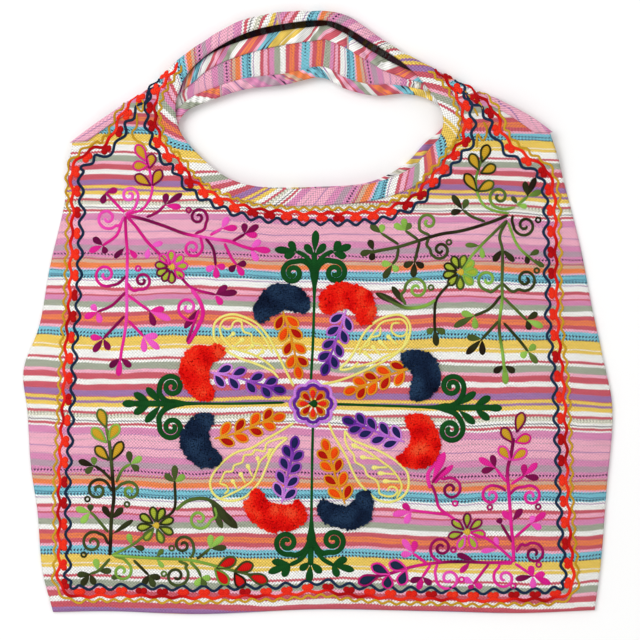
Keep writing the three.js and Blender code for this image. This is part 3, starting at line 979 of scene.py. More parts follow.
def ring_piece(name: str, loops: np.ndarray, uv: np.ndarray, painted_shade: np.ndarray, closed: bool,
               material: bpy.types.Material) -> bpy.types.Object:
    """Makes a closed body of matching loops, joined up or capped at its ends.

    Args:
        name: the piece's name.
        loops: an even loop of points for each column; a closed body repeats its first one at its end.
        uv: map coordinates of the same layout.
        painted_shade: how much painted shade each point takes, from 0 to 1.
        closed: whether the last loop is the first one again.
        material: the piece's material.

    Returns:
        The object.
    """
    columns, rows = loops.shape[:2]
    start = np.arange(columns - 1)[:, None] * rows
    row = np.arange(rows)[None, :]
    after = (row + 1) % rows
    corners = (start + after, start + rows + after, start + rows + row, start + row)
    faces = np.stack(corners, axis=-1).reshape(-1, 4)
    used = faces % ((columns - 1) * rows)
    if not closed:
        step = np.arange(rows // 2 - 1)[:, None]
        cap = np.hstack([rows - 1 - step, rows - 2 - step, step + 1, step])
        used = faces = np.vstack([faces, cap, cap[:, ::-1] + (columns - 1) * rows])
    points = loops[: columns - 1 if closed else columns].reshape(-1, 3)
    coords = uv.reshape(-1, 2)[faces]
    painted_shade_values = painted_shade.reshape(-1)[: len(points)]
    return mesh_piece(name, points, used.tolist(), coords, "cloth", "painted_shade", painted_shade_values, material)


def panel_piece(name: str, panel: Panel, material: bpy.types.Material) -> bpy.types.Object:
    """Makes a panel as a closed wall of cloth.

    Args:
        name: the piece's name.
        panel: the panel.
        material: the cloth.

    Returns:
        The object.
    """
    rows = panel.rows()
    half = np.full(rows.shape, SIZES.cloth / 2)
    loops = np.concatenate([panel.point(rows, half), panel.point(rows, -half)[:, ::-1]], axis=1)
    # Painted shade on the inner face of the cloth that rolls under the handle
    tucked = ease(rows - panel.visible[:, None], -2, 4) * panel.rolled[:, None]
    painted_shade = np.concatenate([np.zeros(rows.shape), tucked[:, ::-1]], axis=1)
    uv = panel.stripes(rows)
    uv = np.concatenate([uv, uv[:, ::-1]], axis=1)
    return ring_piece(name, loops, uv, painted_shade, True, material)


class Edge(Enum):
    """Which edge of a panel a binding folds round."""

    HOLE = "hole"
    MOUTH = "mouth"


@dataclass
class Binding:
    """A bias strip folded round an edge of a panel.

    The bias table gives its stripes, stretch the slope of its cut, share its width, and shaded how
    much painted shade its lower side takes under the handle.
    """

    name: str
    panel: Panel
    edge: Edge
    bias: tuple
    stretch: float = 1.34
    share: float = 1.0
    shaded: float = 0.0
    puff: float = 0.35
    pull: float = 0.25

    def build(self, material: bpy.types.Material) -> bpy.types.Object:
        """Makes the strip in its cloth."""
        panel = self.panel
        outer, inner = SIZES.bound_half, SIZES.cloth / 2 + SIZES.binding_gap
        leg = np.linspace(1, 0, 7)
        still = np.zeros(7)
        turn = np.radians(np.linspace(90, -90, 9))[1:-1]
        inwards = np.concatenate([leg, np.zeros(len(turn)), leg[::-1]])
        puff = self.puff * np.sin(np.pi * leg)
        outer_past = np.concatenate([still, -np.cos(turn) * outer, still])
        outer_lift = np.concatenate([outer + puff, np.sin(turn) * outer, -outer - puff[::-1] * 0.3])
        inner_past = np.concatenate([still, -np.cos(turn) * inner, still])
        inner_lift = np.concatenate([np.full(7, inner), np.sin(turn) * inner, np.full(7, -inner)])
        run = panel.run[:, None] * self.share
        pull = self.pull * np.sin(panel.length / 3.1 + 2 * np.sin(panel.length / 19))[:, None]
        loops = []
        for past, lift, sign in ((outer_past, outer_lift, 1), (inner_past, inner_lift, 0)):
            inward = run * inwards + past
            across = inward if self.edge is Edge.HOLE else panel.width[:, None] - inward
            swell = pull * np.sin(np.pi * np.clip(inwards, 0, 1)) * sign
            loops.append(panel.point(across, lift + swell * (lift > 0)))
        points = np.concatenate([loops[0], loops[1][:, ::-1]], axis=1)
        section = np.concatenate([run * inwards + outer_past, (run * inwards + inner_past)[:, ::-1]],
                                 axis=1)
        # Painted shade on the strip's lower side along the handle
        handle = ease(panel.hole[:, 1], SIZES.body_height + 18, SIZES.body_height + 40)
        low = np.concatenate([ease(-outer_lift, -1.2, 1.2), ease(-inner_lift, -1.2, 1.2)[::-1]])
        painted_shade = self.shaded * handle[:, None] * low[None, :]
        uv = self.stripes(section)
        if self.edge is Edge.HOLE:
            return ring_piece(self.name, points, uv, painted_shade, True, material)
        arm, count = panel.grain.arm, len(section)
        order = np.concatenate([np.arange(count - 1 - arm, count - 1), np.arange(arm + 1)])
        return ring_piece(self.name, points[order], uv[order], painted_shade[order], False, material)

    def stripes(self, section: np.ndarray) -> np.ndarray:
        """Cloth coordinates of points that lie a section's distance in from the edge."""
        along = self.along()
        at, repeat = np.array(self.bias).T
        if self.edge is Edge.HOLE:
            at = at * along[-1] / at[-1]
        slope = math.sqrt(1 - 1 / self.stretch ** 2)
        base = np.interp(along, at, repeat)[:, None]
        stripe = base + slope * (section - SIZES.binding_width / 2)
        return np.stack([slope * along[:, None] - section / self.stretch, stripe], axis=-1)

    def along(self) -> np.ndarray:
        """Length along the strip at each column, from the seam at the top."""
        panel = self.panel
        if self.edge is Edge.HOLE:
            return panel.length
        line = panel.hole + panel.out * panel.visible[:, None]
        run = run_along(line)
        return np.where(np.arange(len(run)) < len(run) // 2, run, run - run[-1])


# Where each bias strip's length in millimetres meets the stripe repeat
FRONT_HOLE_BIAS = (
    (0, 123.8), (6.6, 130.9), (15.2, 138.1), (22, 142.7), (27.2, 146.1), (35.2, 151.6), (40, 155), (40.1,
                                                                                                    59),
    (41.6, 61), (48.2, 67.4), (53.4, 69.9), (58.6, 73.7), (63.2, 76.6), (67, 79.1), (101.9, 106.1),
    (108.3, 114.5), (119.5, 123.8), (127.8, 130.9), (192, 178.5), (260, 226.5), (290.4, 248.8), (344,
                                                                                                 289.6),
    (356.8, 298.9), (368, 306.1), (427.2, 353.6), (530, 424), (587, 474),
)
BACK_HOLE_BIAS = (
    (0, 136), (10, 130.9), (25, 123.8), (34, 119.6), (43, 114.5), (58, 108.6), (72, 101), (85, 88.4),
    (90, 86),
    (90.1, 172), (103, 167.1), (122, 160), (280, 65), (280.1, 304), (490, 178.5), (510, 167.1), (519,
                                                                                                 159.6),
    (526, 155.4), (535, 151.1), (544, 145.7), (551, 142.3), (556, 138.9), (560, 136),
)
FRONT_MOUTH_BIAS = ((-240, 73.6), (-215, 84), (-170, 96), (0, 96), (150, 90), (240, 100))
BACK_MOUTH_BIAS = (
    (-300, 322), (-66, 167.1), (-49, 159.6), (-43.5, 155.4), (-38, 151.1), (-32.5, 145.7), (-28, 142.3),
    (-20.7, 137.2), (-18, 135), (-17.9, 224), (-15.2, 221.4), (-9, 217.2), (-2.7, 212.6), (4.3, 208.8),
    (7.8, 205), (14.7, 198.7), (22.5, 194.9), (36, 188.6), (49, 178.5), (65, 167.1), (77, 159.6), (81,
                                                                                                   155.3),
    (88.5, 149.9), (93, 145.7), (97.5, 142.3), (105, 138), (112, 130.9), (300, -50),
)


# Where the run along each arm, from its seam, meets the stripe repeat
FRONT_ARM = ((0, 0), (400, 400))
BACK_LEFT_ARM = ((0, 163.4), (15.2, 178.6), (400, -206))
BACK_RIGHT_ARM = (
    (0, 158), (3.2, 155.4), (22.4, 131), (29.6, 123.8), (38.4, 114.4), (48, 104), (76, 73.6), (400, -250),
)


class Surface:
    """The upper faces that stitches lie on, seen from above."""

    def __init__(self, pieces: list) -> None:
        """Builds a search tree over the pieces' meshes."""
        points, faces = [], []
        for piece in pieces:
            start = len(points)
            points += [v.co.copy() for v in piece.data.vertices]
            faces += [[start + v for v in p.vertices] for p in piece.data.polygons]
        self.tree = BVHTree.FromPolygons(points, faces)

    def below(self, points: np.ndarray) -> list:
        """What a ray meets that falls on each plan position."""
        spots = metres(np.column_stack([points, np.zeros(len(points))]))
        return [self.tree.ray_cast(Vector((x, y, 0.2)), Vector((0, 0, -1))) for x, y, _ in spots]

    def covers(self, points: np.ndarray) -> np.ndarray:
        """Whether there is cloth below each plan position."""
        return np.array([hit[0] is not None for hit in self.below(points)])

    def seat(self, points: np.ndarray) -> tuple:
        """Height and normal of the surface below each plan position.

        Args:
            points: plan positions in the cut's millimetres.

        Returns:
            Points on the surface in millimetres, and unit normals.
        """
        found, normals = [], []
        level = 3.0
        for (x, y), (hit, normal, _, _) in zip(points, self.below(points)):
            if hit is not None:
                level = (hit.z - ORIGIN[2]) / MM
            if normal is not None and normal.z < 0:
                normal = -normal
            found.append((x, y, level))
            normals.append(tuple(normal) if normal is not None and normal.z > 0.2 else (0.0, 0.0, 1.0))
        return np.array(found), np.array(normals)




def pairs(values: tuple) -> np.ndarray:
    """Chart places given as one run of numbers, x then y."""
    return np.array(values, float).reshape(-1, 2)




def run_along(line: np.ndarray) -> np.ndarray:
    """Length of a line up to each of its places."""
    return np.insert(np.cumsum(np.linalg.norm(np.diff(line, axis=0), axis=1)), 0, 0)


def on_chart(places: np.ndarray) -> np.ndarray:
    """Chart squares in the cut's millimetres."""
    return SIZES.centre + CHART * np.asarray(places, float)


def unit(turn: float) -> np.ndarray:
    """A direction at a turn given in degrees."""
    return np.array([math.cos(math.radians(turn)), math.sin(math.radians(turn))])


@dataclass
class Needle:
    """Works charted stems, scrolls and leaves of one yarn, and gathers them into one mesh."""

    name: str
    surface: Surface
    line: float = 3.2
    high: float = 1.15
    sink: float = 0.25
    sides: int = 7
    points: list = field(default_factory=list)
    faces: list = field(default_factory=list)
    uv: list = field(default_factory=list)
    tone: list = field(default_factory=list)
    count: int = 0
    run: float = 0.0

    def cord(self, line: np.ndarray, width: "float | np.ndarray", height: float, tones: tuple,
             closed: bool = False) -> None:
        """Lays a yarn along a line on the cloth.

        Args:
            line: plan positions in the cut's millimetres.
            width: its width, one value or one for each position.
            height: how far it stands up.
            tones: shades along it, from 0, dark, to 1, light.
            closed: whether the line joins up.
        """
        wide = np.broadcast_to(np.asarray(width, float), (len(line),))
        if not closed:
            on_cloth = np.flatnonzero(self.surface.covers(line))
            keep = slice(on_cloth[0], on_cloth[-1] + 1)
            line, wide = line[keep], wide[keep]
        seat, normal = self.surface.seat(line)
        if closed:
            tangent = np.roll(seat, -1, axis=0) - np.roll(seat, 1, axis=0)
        else:
            tangent = np.gradient(seat, axis=0)
        tangent /= np.maximum(np.linalg.norm(tangent, axis=1), 1e-9)[:, None]
        if not closed and len(normal) > 4:
            normal = normal + np.roll(normal, 1, axis=0) + np.roll(normal, -1, axis=0)
            normal[0], normal[-1] = normal[1], normal[-2]
        side = np.cross(normal, tangent)
        side /= np.maximum(np.linalg.norm(side, axis=1), 1e-9)[:, None]
        up = np.cross(tangent, side)
        tall = height * np.minimum(1, wide / np.maximum(np.max(wide), 1e-9) * 1.15)
        angle = np.linspace(0, np.pi, self.sides)
        ring = (seat[:, None] + side[:, None] * (np.cos(angle)[None, :, None] * wide[:, None, None] / 2)
                + up[:, None] * (np.sin(angle)[None, :, None] * tall[:, None, None] - self.sink))
        along = run_along(seat) + self.run
        self.run = along[-1] + 37.0
        self.wall(ring, along, angle / np.pi, closed)
        at = np.interp(np.linspace(0, 1, len(line)), np.linspace(0, 1, len(tones)), tones)
        self.tone.append(np.repeat(at, self.sides))

    def wall(self, ring: np.ndarray, along: np.ndarray, around: np.ndarray, closed: bool) -> None:
        """Adds the faces of a cord.

        Args:
            ring: a half round of points at each place along it.
            along: length of yarn up to each place.
            around: share of the half round at each of its points.
            closed: whether the cord joins up, or else gets two caps.
        """
        count, sides = ring.shape[:2]
        col = np.arange(count if closed else count - 1)[:, None]
        row = np.arange(sides)[None, :]
        after, beside = (col + 1) % count * sides, (row + 1) % sides
        quads = np.stack([col * sides + row, after + row, after + beside, col * sides + beside], axis=-1)
        end = along[-1] + (np.linalg.norm(ring[0, 0] - ring[-1, 0]) if closed else 0)
        table = np.stack(np.broadcast_arrays(np.append(along, end)[:, None], np.append(around, 1.4)), -1)
        coords = (table[col, row], table[col + 1, row], table[col + 1, row + 1], table[col, row + 1])
        self.points.append(ring.reshape(-1, 3))
        self.faces += (quads.reshape(-1, 4) + self.count).tolist()
        self.uv += np.stack(coords, axis=2).reshape(-1, 4, 2).tolist()
        if not closed:
            for place, turn in ((0, 1), (-1, -1)):
                first = self.count + (place % count) * sides
                self.faces.append(list(range(first, first + sides))[::turn])
                self.uv.append([[along[place], share] for share in around][::turn])
        self.count += count * sides

    def build(self, material: bpy.types.Material) -> bpy.types.Object:
        """Makes the mesh of all that was worked, in its yarn."""
        faces = [face[::-1] for face in self.faces]
        coords = np.concatenate([corners[::-1] for corners in self.uv])
        points, tone = np.vstack(self.points), np.concatenate(self.tone)
        return mesh_piece(self.name, points, faces, coords, "yarn", "tone", tone, material)

    def stem(self, values: "tuple | np.ndarray", tones: "tuple | np.ndarray" = (0.5, 0.5),
             width: "float | np.ndarray" = 0.0) -> None:
        """A line of chain stitch.

        Args:
            values: chart places of the line.
            tones: shades from its start to its end.
            width: its width in squares, one value or a few along it, or 0 for one line of stitches.
        """
        places = pairs(values) if np.ndim(values) == 1 else values
        line = SmoothLine(on_chart(places)).evenly(1.15)
        share = np.linspace(0, 1, len(line))
        widths = np.atleast_1d(width or self.line)
        wide = np.interp(share, np.linspace(0, 1, len(widths)), widths) * CHART
        wide *= 0.55 + 0.45 * np.clip(np.minimum(share, 1 - share) * len(line) / 1.6, 0, 1)
        self.cord(line, wide, self.high, tones)

    def ring(self, x: float, y: float, radius: float, tone: float, width: float, lobe: float = 0.0) -> None:
        """A closed ring, round or with eight lobes.

        Args:
            x: chart place of its middle.
            y: the same, upwards.
            radius: its radius in squares.
            tone: its shade.
            width: its width in squares.
            lobe: depth of its lobes in squares.
        """
        turn = np.linspace(0, math.tau, max(14, int(radius * 6)), endpoint=False)
        out = radius + lobe * np.abs(np.cos(turn * 4))
        line = on_chart(np.stack([x + out * np.cos(turn), y + out * np.sin(turn)], axis=-1))
        self.cord(line, width * CHART, self.high, (tone, tone), closed=True)

    def scroll(self, lead: "tuple | np.ndarray", x: float, y: float, radius: float, start: float,
               turns: float,
               tones: "tuple | np.ndarray" = (0.4, 0.8), ring: tuple = (),
               width: "float | np.ndarray" = 0.0) -> None:
        """A stem that runs into a spiral, with a small ring beside it where one is given.

        Args:
            lead: chart places before the spiral.
            x: chart place of the spiral's middle.
            y: the same, upwards.
            radius: its outer radius.
            start: turn at which the line meets it, in degrees.
            turns: how often it winds, below 0 for clockwise.
            tones: shades from start to end.
            ring: middle of the small ring.
            width: width of the line.
        """
        share = np.linspace(0, 1, max(8, int(abs(turns) * 14)))
        turn = np.radians(start + 360 * turns * share)
        out = radius * mix(1.0, 0.16, share ** 0.85)
        coil = np.stack([x + out * np.cos(turn), y + out * np.sin(turn)], axis=-1)
        self.stem(np.vstack([pairs(lead), coil]), tones, width)
        if ring:
            self.ring(*ring, 2.4, tones[0], 2.2)

    def leaf(self, ends: "tuple | np.ndarray", tone: float, width: float, belly: float = 1.75,
             height: float = 1.05) -> None:
        """A solid satin leaf.

        Args:
            ends: chart places of its foot and tip, in one run.
            tone: its shade.
            width: its greatest width in squares.
            belly: how far out its widest part lies, 1 for the middle.
            height: how far it stands up, in millimetres.
        """
        share = 1 - (1 - np.linspace(0.0, 1.0, 13)) ** 1.4
        foot, tip = pairs(ends)
        line = foot + np.outer(share, tip - foot)
        wide = width * CHART * np.maximum(0.06, np.sin(np.pi * share ** belly)) ** 0.5
        self.cord(on_chart(line), wide, height, (tone, tone))

    def rim(self, ends: "tuple | np.ndarray", tone: float, width: float, line: float = 2.2,
            belly: float = 1.6) -> None:
        """An outline round a leaf.

        Args:
            ends: chart places of the leaf's foot and tip, in one run.
            tone: its shade.
            width: how wide it stands, in squares.
            line: width of its line.
            belly: how far out its widest part lies, 1 for the middle.
        """
        foot, tip = pairs(ends)
        way = tip - foot
        length = np.linalg.norm(way)
        share = np.linspace(0, 1, 9)
        half = width / 2 * np.maximum(0, np.sin(np.pi * share ** belly)) ** 0.6
        middle = foot + np.outer(share, way)
        beside = np.outer(half, np.array([-way[1], way[0]]) / max(length, 1e-6))
        loop = SmoothLine(on_chart(np.vstack([middle + beside, (middle - beside)[-2:0:-1]])), closed=True)
        count = int(length * 2.2)
        self.cord(loop.at(np.arange(count) / count), line * CHART, 1.35, (tone, tone), closed=True)

    def sprig(self, stem: "tuple | np.ndarray", tips: "tuple | np.ndarray",
              tones: "tuple | np.ndarray" = (0.4, 0.5), width: float = 7.2) -> None:
        """A short branch that ends in a few leaves.

        Args:
            stem: chart places of the branch.
            tips: place and shade of each leaf's tip.
            tones: shades along the branch.
            width: width of the leaves.
        """
        line = pairs(stem)
        if len(line) > 1:
            self.stem(stem, tones)
        for x, y, tone in np.reshape(tips, (-1, 3)):
            self.leaf((*line[-1], x, y), tone, width)


@dataclass(frozen=True)
class Vine:
    """A branching corner plant, charted from the rosette.

    Each stem is (places, shades, width), each scroll has Needle.scroll's values, each sprig has
    Needle.sprig's, and leaves and gold leaves are (foot, tip, shade).
    """

    name: str
    finish: str
    stems: tuple
    scrolls: tuple
    sprigs: tuple
    leaves: tuple
    gold: tuple
    bloom: tuple
    petals: tuple

    def work(self, needle: Needle, gold: Needle, lime: Needle) -> None:
        """Works the plant.

        Args:
            needle: its own yarn.
            gold: the yarn of its gold leaves.
            lime: the yarn of its bloom's petals.
        """
        for places, tones, width in self.stems:
            needle.stem(places, tones, 0.88 * width)
        for values in self.scrolls:
            needle.scroll(*values)
        for values in self.sprigs:
            needle.sprig(*values)
        for *ends, tone, width in self.leaves:
            needle.leaf(ends, tone, width)
        for *ends, tone in self.gold:
            gold.leaf(ends, 0.5, 8.2)
            needle.rim(ends, tone, 9.2)
        x, y, radius = self.bloom
        for turn, tone in self.petals:
            ends = np.array([x, y, x, y]) + np.hstack([4 * unit(turn), radius * unit(turn)])
            lime.leaf(ends, 0.5, 6.0)
            needle.rim(ends, tone, 7.0)
        gold.leaf((x - 4, y, x + 4, y), 0.9, 7.4, height=1.6)


@dataclass(frozen=True)
class Spray:
    """A hanging spray of paired leaves between a flower head and the rosette."""

    stem: tuple
    warm: bool
    lean: float = 41.0
    rows: tuple = (0.07, 0.29, 0.5, 0.69)

    def work(self, fill: Needle, outline: Needle) -> None:
        """Works the spray.

        Args:
            fill: yarn of the leaves.
            outline: yarn of the stem and of the outlines.
        """
        places = pairs(self.stem)
        line = SmoothLine(places)
        tones = (0.75, 0.35) if self.warm else (0.95, 0.2)
        outline.stem(self.stem, tones, 2.3)
        way = (places[-1] - places[0]) / np.linalg.norm(places[-1] - places[0])
        turn = math.degrees(math.atan2(way[1], way[0]))
        for step, at in enumerate(self.rows):
            for side in (-1, 1):
                foot = line.at(np.array([at + (0.035 if side > 0 else 0)]))[0]
                tip = foot + mix(16.8, 13.5, at) * unit(turn + side * self.lean)
                ends = (*(foot + 1.5 * unit(turn + side * 70)), *tip)
                shade = (0.9 if (step + (side > 0)) % 2 else 0.1) if self.warm else 0.4
                outline.rim(ends, mix(*tones, at), 8.2, 2.2, 1.25)
                fill.leaf(ends, shade, 6.8, 1.3, 1.7)
        foot = line.at(np.array([0.86]))[0]
        ends = (*foot, *(foot + 14 * way))
        outline.rim(ends, tones[1], 8.0, 2.2, 1.25)
        fill.leaf(ends, 0.8 if self.warm else 0.4, 6.6, 1.3, 1.7)


@dataclass(frozen=True)
class Paisley:
    """A teardrop of open lines in pale yarn, with a row of buds inside."""

    outline: tuple
    lines: tuple
    buds: tuple

    def work(self, needle: Needle) -> None:
        """Works the outline, the lines inside and the buds, each from its foot to its head."""
        needle.stem(self.outline, (0.4, 0.7), 2.6)
        for line in self.lines:
            needle.stem(line, (0.6, 0.3), 2.3)
        for x0, y0, x1, y1 in self.buds:
            needle.stem((x0, y0, x1, y1), (0.4, 0.8), 2.2)
            ends = [mix(*sides, at) for at in (0.5, 1.1) for sides in ((x0, x1), (y0, y1))]
            needle.leaf(ends, 0.6, 4.8)


class Border:
    """Three wavy lines that frame the front: navy inside, scarlet with hearts, gold outside."""

    RUNS = (0.9, 0.85, 0.95, 0.1, 0.1, 0.8, 0.9, 0.7, 0.15)

    def __init__(self, guide: tuple, inward: float, pitch: float) -> None:
        """Keeps the guide of the scarlet line.

        Args:
            guide: chart places.
            inward: 1 where the plain field is to the left of the guide, -1 where it is to the right.
            pitch: length of one wave in squares.
        """
        self.line = SmoothLine(pairs(guide)).evenly(1.4)
        self.way = np.gradient(self.line, axis=0)
        self.way /= np.linalg.norm(self.way, axis=1)[:, None]
        self.side = np.stack([-self.way[:, 1], self.way[:, 0]], axis=-1) * inward
        run = run_along(self.line)
        self.phase = run / run[-1] * max(1, round(run[-1] / pitch)) * math.tau

    def shifted(self, shift: np.ndarray) -> np.ndarray:
        """The guide moved inwards by a shift at each place."""
        return self.line + self.side * np.asarray(shift)[:, None]

    def work(self, navy: Needle, scarlet: Needle, gold: Needle, seed: int) -> None:
        """Works the three lines.

        Args:
            navy: yarn of the inner line.
            scarlet: yarn of the middle line.
            gold: yarn of the outer line.
            seed: keeps its small faults the same on each run.
        """
        draw = np.random.default_rng(seed)
        knots = np.arange(0, len(self.line) + 9, 9)
        jitter = np.interp(np.arange(len(self.line)), knots, draw.normal(0, 0.5, len(knots)))
        wave = np.cos(self.phase)
        waves = int(self.phase[-1] / math.tau) + 1
        tones = [self.RUNS[k % len(self.RUNS)] for k in range(waves)]
        navy.stem(self.shifted(7.6 + 2.6 * wave + jitter), (0.3, 0.6), 3.1)
        scarlet.stem(self.shifted(-1.6 + 1.3 * wave + 0.5 * jitter), tuple(tones), 3.4)
        gold.stem(self.shifted(-6.3 + 1.5 * np.cos(self.phase * 1.5) + jitter), (0.3, 0.6, 0.4, 0.6), 2.6)
        inner = wave[1:-1]
        for spot in np.flatnonzero((inner >= wave[:-2]) & (inner > wave[2:])) + 1:
            tone = tones[min(waves - 1, round(self.phase[spot] / math.tau))]
            middle, way, side = self.line[spot], self.way[spot], self.side[spot]
            for lean in (-1, 1):
                foot = middle - 0.6 * side - way * lean * 0.8
                tip = middle + side * 5.9 + way * (lean * 4.6 + 0.6)
                scarlet.leaf((*foot, *tip), tone, 7.0, height=1.6)


@dataclass(frozen=True)
class FlowerHead:
    """A crescent of cut pile, made of tufts."""

    number: int
    outline: tuple
    warm: bool
    sides: int = 6
    apart: float = 0.82
    rings: tuple = ((-0.4, 1.0), (0.62, 1.12), (0.92, 0.86), (1.0, 0.4))

    @property
    def node(self) -> str:
        """Name of the solid that it stands for."""
        return f"flower_head_{self.number}"

    @property
    def slot(self) -> str:
        """The record's slot of its pile."""
        return "scarlet_pile" if self.warm else "navy_pile"

    def build(self, surface: Surface, material: bpy.types.Material) -> bpy.types.Object:
        """Makes a low cushion with a tuft at every stitch.

        Args:
            surface: the cloth below.
            material: the pile.

        Returns:
            The object.
        """
        draw = np.random.default_rng(100 + self.number)
        edge = SmoothLine(on_chart(pairs(self.outline)), closed=True).at(np.arange(120) / 120)
        edge = edge + draw.normal(0, 0.22, edge.shape)
        spots = draw.uniform(edge.min(axis=0), edge.max(axis=0), (5200, 2))
        spots = spots[self.inside(edge, spots)]
        chosen, taken = [], np.zeros(len(spots), bool)
        for k, spot in enumerate(spots):
            if not taken[k]:
                chosen.append(k)
                taken |= np.linalg.norm(spots - spot, axis=1) < self.apart
        spots = spots[chosen]
        away = edge[None] - spots[:, None]
        length = np.linalg.norm(away, axis=2)
        near, gap = np.argmin(length, axis=1), np.min(length, axis=1)
        away = away[np.arange(len(spots)), near] / np.maximum(gap, 1e-6)[:, None]
        seat, _ = surface.seat(spots)
        patch = Ripples(40 + self.number, 9, 26).at(spots[:, 0], spots[:, 1])
        tone = np.clip(0.55 + 0.5 * patch + draw.normal(0, 0.07, len(spots)), 0, 1)
        dome = 2.4 * np.clip(gap / 4.5, 0.15, 1) ** 0.5
        tall = dome + draw.uniform(0.7, 1.2, len(spots))
        lean = away * (1.4 * np.exp(-gap / 2.2))[:, None] + draw.normal(0, 0.3, spots.shape)
        turn = draw.uniform(0, math.tau, len(spots))
        share, wide = np.array(self.rings).T
        angle = turn[:, None, None] + math.tau * np.arange(self.sides) / self.sides
        angle = angle + 0.3 * np.arange(len(share))[:, None]
        up = np.where(share < 0, share, share * tall[:, None])
        shift = lean[:, None] * np.maximum(0.0, share)[:, None]
        points = np.stack([
            (seat[:, :1] + shift[:, :, 0])[:, :, None] + wide[:, None] * np.cos(angle),
            (seat[:, 1:2] + shift[:, :, 1])[:, :, None] + wide[:, None] * np.sin(angle),
            (seat[:, 2:] + up)[:, :, None] + np.zeros(angle.shape),
        ], axis=-1).reshape(-1, 3)
        faces, coords = self.tuft()
        count = len(share) * self.sides
        faces = [[k * count + corner for corner in face] for k in range(len(spots)) for face in faces]
        # Painted shade: the two lowest rings of each tuft are darker, at 0.8 of its tone
        dark, light = 2 * self.sides, count - 2 * self.sides
        tones = np.hstack([np.outer(tone * 0.8, np.ones(dark)), np.outer(tone, np.ones(light))]).ravel()
        name = f"{self.slot}_head_{self.number}"
        return mesh_piece(name, points, faces, coords * len(spots), "yarn", "tone", tones, material)

    def tuft(self) -> tuple:
        """Faces of one tuft and the map coordinates of their corners."""
        sides, last = self.sides, len(self.rings) - 1
        faces, coords = [], []
        for level in range(last):
            low, high = level * 1.5, level * 1.5 + 1.5
            for side in range(sides):
                a, b = level * sides + side, level * sides + (side + 1) % sides
                faces.append([a, b, b + sides, a + sides])
                v = side * 0.2
                coords += [(low, v), (low, v + 0.2), (high, v + 0.2), (high, v)]
        faces.append([last * sides + side for side in range(sides)])
        faces.append([side for side in range(sides)][::-1])
        coords += [(end, 0.2 * side) for end in (4.5, 0.0) for side in range(sides)]
        return faces, coords

    @staticmethod
    def inside(edge: np.ndarray, spots: np.ndarray) -> np.ndarray:
        """Which spots lie inside a closed outline."""
        inside = np.zeros(len(spots), bool)
        for (ax, ay), (bx, by) in zip(edge, np.roll(edge, -1, axis=0)):
            crosses = (ay > spots[:, 1]) != (by > spots[:, 1])
            inside ^= crosses & (spots[:, 0] < (bx - ax) * (spots[:, 1] - ay) / (by - ay) + ax)
        return inside


HEADS = (
    FlowerHead(1, (93, -13, 100, -11, 113, -13, 120, -23, 125, -37, 124, -48, 118, -58, 109, -63, 100, -63,
                   89, -60, 83, -53, 89, -50, 95, -43, 98, -35, 96, -25, 93, -18), True),
    FlowerHead(2, (88, 46, 92, 51, 105, 52, 116, 48, 124, 37, 126, 24, 122, 14, 112, 5, 100, 4, 97, 7,
                   98, 18, 100, 26, 97, 35, 90, 39), False),
    FlowerHead(3, (7, 100, 7, 95, 13, 90, 18, 90, 25, 93, 33, 95, 39, 92, 43, 87, 45, 81, 50, 79, 56, 80,
                   59, 85, 62, 91, 60, 99, 57, 109, 50, 114, 42, 117, 29, 119, 18, 117, 11, 111, 7, 106),
                   True),
    FlowerHead(4, (-57, 97, -58, 91, -57, 86, -53, 81, -49, 81, -44, 84, -42, 87, -37, 89, -31, 93, -25, 94,
                   -19, 92, -11, 91, -6, 92, -4, 96, -4, 100, -6, 105, -11, 112, -19, 116, -30, 118,
                   -40, 117, -47, 112, -53, 104), False),
    FlowerHead(5, (-131, 39, -124, 51, -114, 57, -102, 56, -96, 59, -87, 51, -94, 44, -102, 38, -104, 29,
                   -103, 21, -99, 13, -100, 5, -113, 4, -126, 17, -131, 30), True),
    FlowerHead(6, (-117, -13, -109, -10, -100, -13, -100, -20, -104, -27, -103, -38, -97, -47, -91, -53,
                   -92, -58, -102, -63, -114, -61, -125, -52, -130, -42, -130, -30, -126, -22), False),
    FlowerHead(7, (-56, -85, -52, -87, -49, -91, -46, -96, -41, -99, -33, -101, -25, -101, -19, -99,
                   -16, -96, -12, -99, -9, -104, -7, -111, -9, -118, -16, -123, -24, -126, -33, -126,
                   -42, -127, -50, -123, -56, -119, -62, -114, -66, -107, -68, -99, -64, -96, -61, -89),
                   True),
    FlowerHead(8, (11, -96, 16, -99, 22, -101, 29, -103, 34, -103, 38, -99, 43, -95, 44, -90, 50, -87,
                   56, -89, 58, -95, 59, -101, 58, -109, 55, -116, 49, -121, 39, -124, 31, -123, 20, -121,
                   11, -117, 7, -111, 5, -104, 6, -100), False),
)

SPRAYS = (
    Spray((-30, 92, -24, 74, -18, 50, -15, 30), True),
    Spray((33, 93, 27, 74, 19, 52, 12, 34), False),
    Spray((97, 35, 75, 28, 55, 19, 36, 13), True),
    Spray((91, -38, 72, -32, 52, -23, 36, -18), False),
    Spray((32, -100, 25, -80, 18, -58, 13, -42), True),
    Spray((-31, -99, -27, -80, -22, -58, -18, -38), False),
    Spray((-98, -35, -76, -29, -52, -19, -33, -14), True),
    Spray((-102, 31, -80, 27, -52, 19, -33, 13), False),
)

